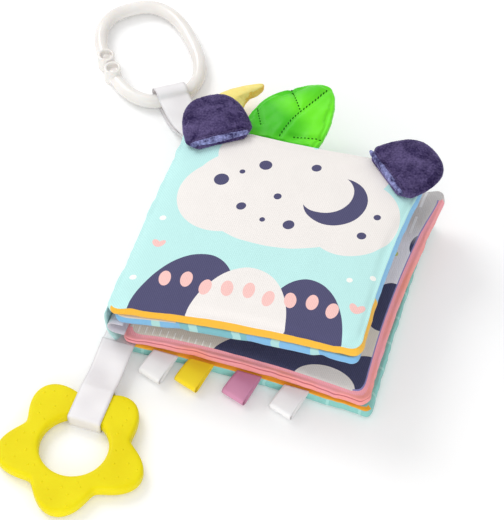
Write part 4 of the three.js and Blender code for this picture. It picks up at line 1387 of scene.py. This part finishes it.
# %% A ribbon
def thick_cloth(name, bm, material, thickness):
    """A grid as a smooth piece of cloth that has a thickness."""
    piece = new_piece(name, bm, material, smooth=True)
    wall = piece.modifiers.new("thickness", "SOLIDIFY")
    wall.thickness, wall.offset = thickness * MM, 0.0
    return piece


def ribbon(name, path, start, heading, width, thickness, material, root_turn=0.0, reach=1.0,
           twist_by=0.0, step=1.0):
    """A ribbon along a path of (run, height) in millimetres. Its UV goes from 0 to 1 across it, and
    counts widths along it."""
    line, length = even_path([Vector(p) for p in path], step)
    bm = bmesh.new()
    bmesh.ops.create_grid(bm, x_segments=RIBBON_CELLS, y_segments=len(line) - 1, size=1.0)
    uv_layer = bm.loops.layers.uv.new("print")
    angle = math.radians(heading)
    forward = Vector((math.cos(angle), math.sin(angle), 0))
    for vert in bm.verts:
        k = round((vert.co.y + 1) / 2 * (len(line) - 1))
        side = vert.co.x
        run, height = line[k]
        across = Vector((math.sin(angle), -math.cos(angle), 0))
        across = Matrix.Rotation(math.radians(twist_by), 3, "Z") @ across
        if root_turn:
            share = clamp(run / reach / 0.7)
            share = share * share * (3 - 2 * share)
            across = Vector((root_turn, 0, 0)).lerp(across, share)
        spot = start + forward * run + across * side * width / 2
        spot.z = height
        for loop in vert.link_loops:
            loop[uv_layer].uv = (side / 2 + 0.5, length * k / (len(line) - 1) / width)
        vert.co = spot * MM
    print(name, "is", round(length, 1), "mm of ribbon")
    return thick_cloth(name, bm, material, thickness), length

# %% Ribbon satin
def ribbon_satin(name, tone, deep, width):
    """Satin ribbon with a slightly thicker woven edge down each side, broad bands of painted light and
    shade, and painted shade near its root.
    """
    material, tree, shader = new_surface(name, 0.34, sheen=0.1, specular=0.5)
    place = mapped(tree, on_uv(tree), (width, width, 1))
    across = parts_of(tree, on_uv(tree))[0]
    edge = more(tree, apart(tree, across, 0.5), 0.455)
    # Painted light and shade: broad soft paler and darker bands, as satin shows over gentle folds.
    painted_fold_shading = mottle(tree, place, 0.06, 0.0)
    # Painted shade: the first 8 mm of the ribbon, where it comes out of its seam, is darkened.
    root_painted_shade = ramp(tree, parts_of(tree, place)[1], 0.0, 8.0, 0.45, 0.0)
    colour = two_tone(tree, painted_fold_shading, 0.3, 0.7, deep, tone)
    colour = paint(tree, colour, root_painted_shade, [0.80 * c for c in deep])
    colour = paint(tree, colour, product(tree, edge, 0.5), [0.96 * c for c in deep])
    weft, warp = ribs(tree, mapped(tree, place, turn=90), 0.5), ribs(tree, place, 0.35)
    height = sum_of(tree, weft, product(tree, warp, 0.4), product(tree, edge, 1.5))
    finish(tree, shader, colour, height, 0.3, 0.0002)
    return material


BROAD, NARROW = 20, 15
white_satin = ribbon_satin("white_satin", (0.96, 0.95, 0.955), (0.91, 0.895, 0.905), BROAD)
tag_white = ribbon_satin("tag_white", (0.99, 0.985, 0.985), (0.955, 0.95, 0.955), NARROW)
yellow_satin = ribbon_satin("yellow_satin", (1.0, 0.89, 0.01), (0.97, 0.83, 0.0), NARROW)
mauve_satin = ribbon_satin("mauve_satin", (0.87, 0.59, 0.72), (0.80, 0.52, 0.66), NARROW)
print("satin ribbons", BROAD, "and", NARROW, "mm wide")

# %% [markdown]
# ## Strap
# One white ribbon runs from the book down to the teether, over its rim, through the hole and back up on
# the underside. It could be cut in two at the bend, but then a gap would open there. So it is a single
# piece. Only its root, sewn in under the spine, is a second short piece.

# %% Strap
STRAP_START = Vector((-77.3, -75.3, 0))
strap_line = smooth_path([(0, 10), (10, 8.3), (20.3, 7.2), (28.7, 8.2), (33.5, 9.6), (36, 9.75),
                          (45, 9.5)], 6)
strap_line += [Vector(p) for p in arc(56.0, 8.3, 1.2, 90, 0, 5) + arc(56.0, 1.5, 1.2, 0, -90, 5)]
strap_line += [Vector(p) for p in ((45, 0.3), (36, 0.35), (33.9, 1.6), (33.2, 4.5), (32.6, 7.8))]
strap, strap_length = ribbon("strap_ribbon", strap_line, STRAP_START, -90, BROAD, 0.5, white_satin)
for vert in strap.data.vertices:
    run = STRAP_START.y - vert.co.y / MM
    side = (vert.co.x / MM - STRAP_START.x) / (BROAD / 2)
    if run < 30 and vert.co.z > 4 * MM:
        vert.co.z += 0.7 * MM * math.sin(math.pi * run / 30) * (side * side - 0.5)
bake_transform(strap)
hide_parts("strap", "strap_loop")
root_line = smooth_path([(0, 8.05), (5.5, 8.1), (8.4, 8.9), (9.6, 10.0)], 5)
root, root_length = ribbon("strap_root", root_line, STRAP_START + Vector((0, 9.6, 0)), -90, BROAD,
                           0.3, white_satin)
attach(root, "lower_page")

# %% [markdown]
# ## Ring ribbon
# A second white ribbon leaves the back corner at the spine, goes over the ring's bar, and comes back
# underneath to the same seam. Its path is drawn where cloth draped by a simulation would also do,
# because the photograph shows where it lies.

# %% Ring ribbon
RING_START = Vector((-76.3, 75.3, 0))
LOOP_RUN, LOOP_Z, LOOP_R = 54.0, 6.7, 6.4
top_line = smooth_path([(0, 12.5), (11.5, 12.14), (25.1, 8.9), (38, 8.6)]
                       + arc(LOOP_RUN, LOOP_Z, LOOP_R, 150, 60, 3), 6)
loop_line = [Vector(p) for p in arc(LOOP_RUN, LOOP_Z, LOOP_R, 60, -90, 12)]
under_line = smooth_path([(LOOP_RUN, LOOP_Z - LOOP_R), (46, 0.32), (36.6, 0.7), (25.1, 4.54),
                          (11.5, 10.06), (0, 11.5)], 6)
ring_line = top_line + loop_line[1:] + under_line[1:]
ring_ribbon, ring_length = ribbon("ring_ribbon_satin", ring_line, RING_START, 132, BROAD, 0.5,
                                  white_satin, root_turn=1.0, reach=52.3, twist_by=-8)
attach(ring_ribbon, "ring_ribbon")
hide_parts("ring_ribbon")

# %% [markdown]
# ## Tags
# Four short loops of ribbon along the front edge, each open at its fold, leaning a little to the spine.
# One could be copied four times, but the leaf's front is drawn in, so each starts from its own place.

# %% Tags
def drawn_in(x):
    """How far a leaf's front side is drawn in at a place across it."""
    return DRAW * arch(x / (LEAF_W / 2 - 9))


tag_line = smooth_path([(0, 8.65), (7.1, 8.1)] + arc(14.6, 3.9, 2.5, 80, -110, 8)
                       + [(7.1, 4.6), (0, 7.65)], 5)
for number, middle, material, slot in (
        (1, -48.5, tag_white, "white_satin"), (2, -26.5, yellow_satin, "yellow_satin"),
        (3, 2.5, mauve_satin, "mauve_satin"), (4, 31.5, tag_white, "white_satin")):
    start = Vector((middle, -LEAF_D / 2 + drawn_in(middle + 1.0) + 0.3, 0))
    tag, tag_length = ribbon(f"tag_ribbon_{number}", tag_line, start, -108, NARROW, 0.4, material,
                             root_turn=-1.0, reach=17, step=0.8)
    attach(tag, f"tag_{number}")
    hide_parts(f"tag_{number}")

# %% [markdown]
# ## Spine and gutter
# One cloth wraps the spine outside, and another folds between the two facing pages inside. Each runs
# from seam to seam along the leaves' depth and crosses the hinge. Two strips would part when the book
# opens, so each is one piece: a section line swept along the depth, with small puckers.

# %% Spine cloth
CLOTH_THICK, SEAM_W = 0.5, 148.4


def wrap(name, line, material):
    """A cloth whose section is a line of (x, z) in millimetres, run along the leaves' depth."""
    points, length = even_path([Vector(p) for p in line], 1.0)
    bm = bmesh.new()
    bmesh.ops.create_grid(bm, x_segments=48, y_segments=len(points) - 1, size=1.0)
    uv_layer = bm.loops.layers.uv.new("print")
    for vert in bm.verts:
        k = round((vert.co.y + 1) / 2 * (len(points) - 1))
        pucker = 0.35 * noise.noise(Vector((vert.co.x * 9, k * 0.12, 2.0)))
        before, after = points[max(k - 1, 0)], points[min(k + 1, len(points) - 1)]
        along = (after - before).normalized()
        inward = Vector((-along.y, along.x)) * min(pucker, 0.0)
        for loop in vert.link_loops:
            loop[uv_layer].uv = (vert.co.x / 2 + 0.5, length * k / (len(points) - 1) / LEAF_D)
        spot = points[k] - inward
        vert.co = Vector((spot.x, vert.co.x * SEAM_W / 2, spot.y)) * MM
    print(name, "is", round(length, 1), "mm round")
    return thick_cloth(name, bm, material, CLOTH_THICK), length


SPINE_X, SPINE_R = -68.5, 16
outside = arc(SPINE_X, STITCH_Z, SPINE_R, 238, 182, 14)
curve_up = []
for k in range(1, 11):
    t = k / 10
    x = (1 - t) ** 2 * 0.4 + 2 * t * (1 - t) * 0.5 + t * t * 1.6
    z = (1 - t) ** 2 * 4.5 + 2 * t * (1 - t) * 9.0 + t * t * 13.0
    spot = on_upper(x, 0, z)
    curve_up.append((spot.x, spot.z))
spine, spine_length = wrap("spine_cloth", outside + curve_up, mint_cloth)
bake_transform(spine)
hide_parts("lower_spine_strip", "upper_spine_strip")

# %% Gutter cloth
FOLD, FOLD_R = 5.1, 4.1
runs = (2.0, 4.0, 6.0)
inside = [(HINGE_X + FOLD + run, STITCH_Z - FOLD_R) for run in reversed(runs)]
inside += arc(HINGE_X + FOLD, STITCH_Z, FOLD_R, 270, 180, 9)
for x, z in arc(FOLD, 0, FOLD_R, 170, 90, 8) + [(FOLD + run, FOLD_R) for run in runs]:
    spot = on_upper(x, 0, z)
    inside.append((spot.x, spot.z))
gutter, gutter_length = wrap("gutter_cloth", inside, lilac_cloth)
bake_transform(gutter)
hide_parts("lower_gutter_fold", "upper_gutter_fold")
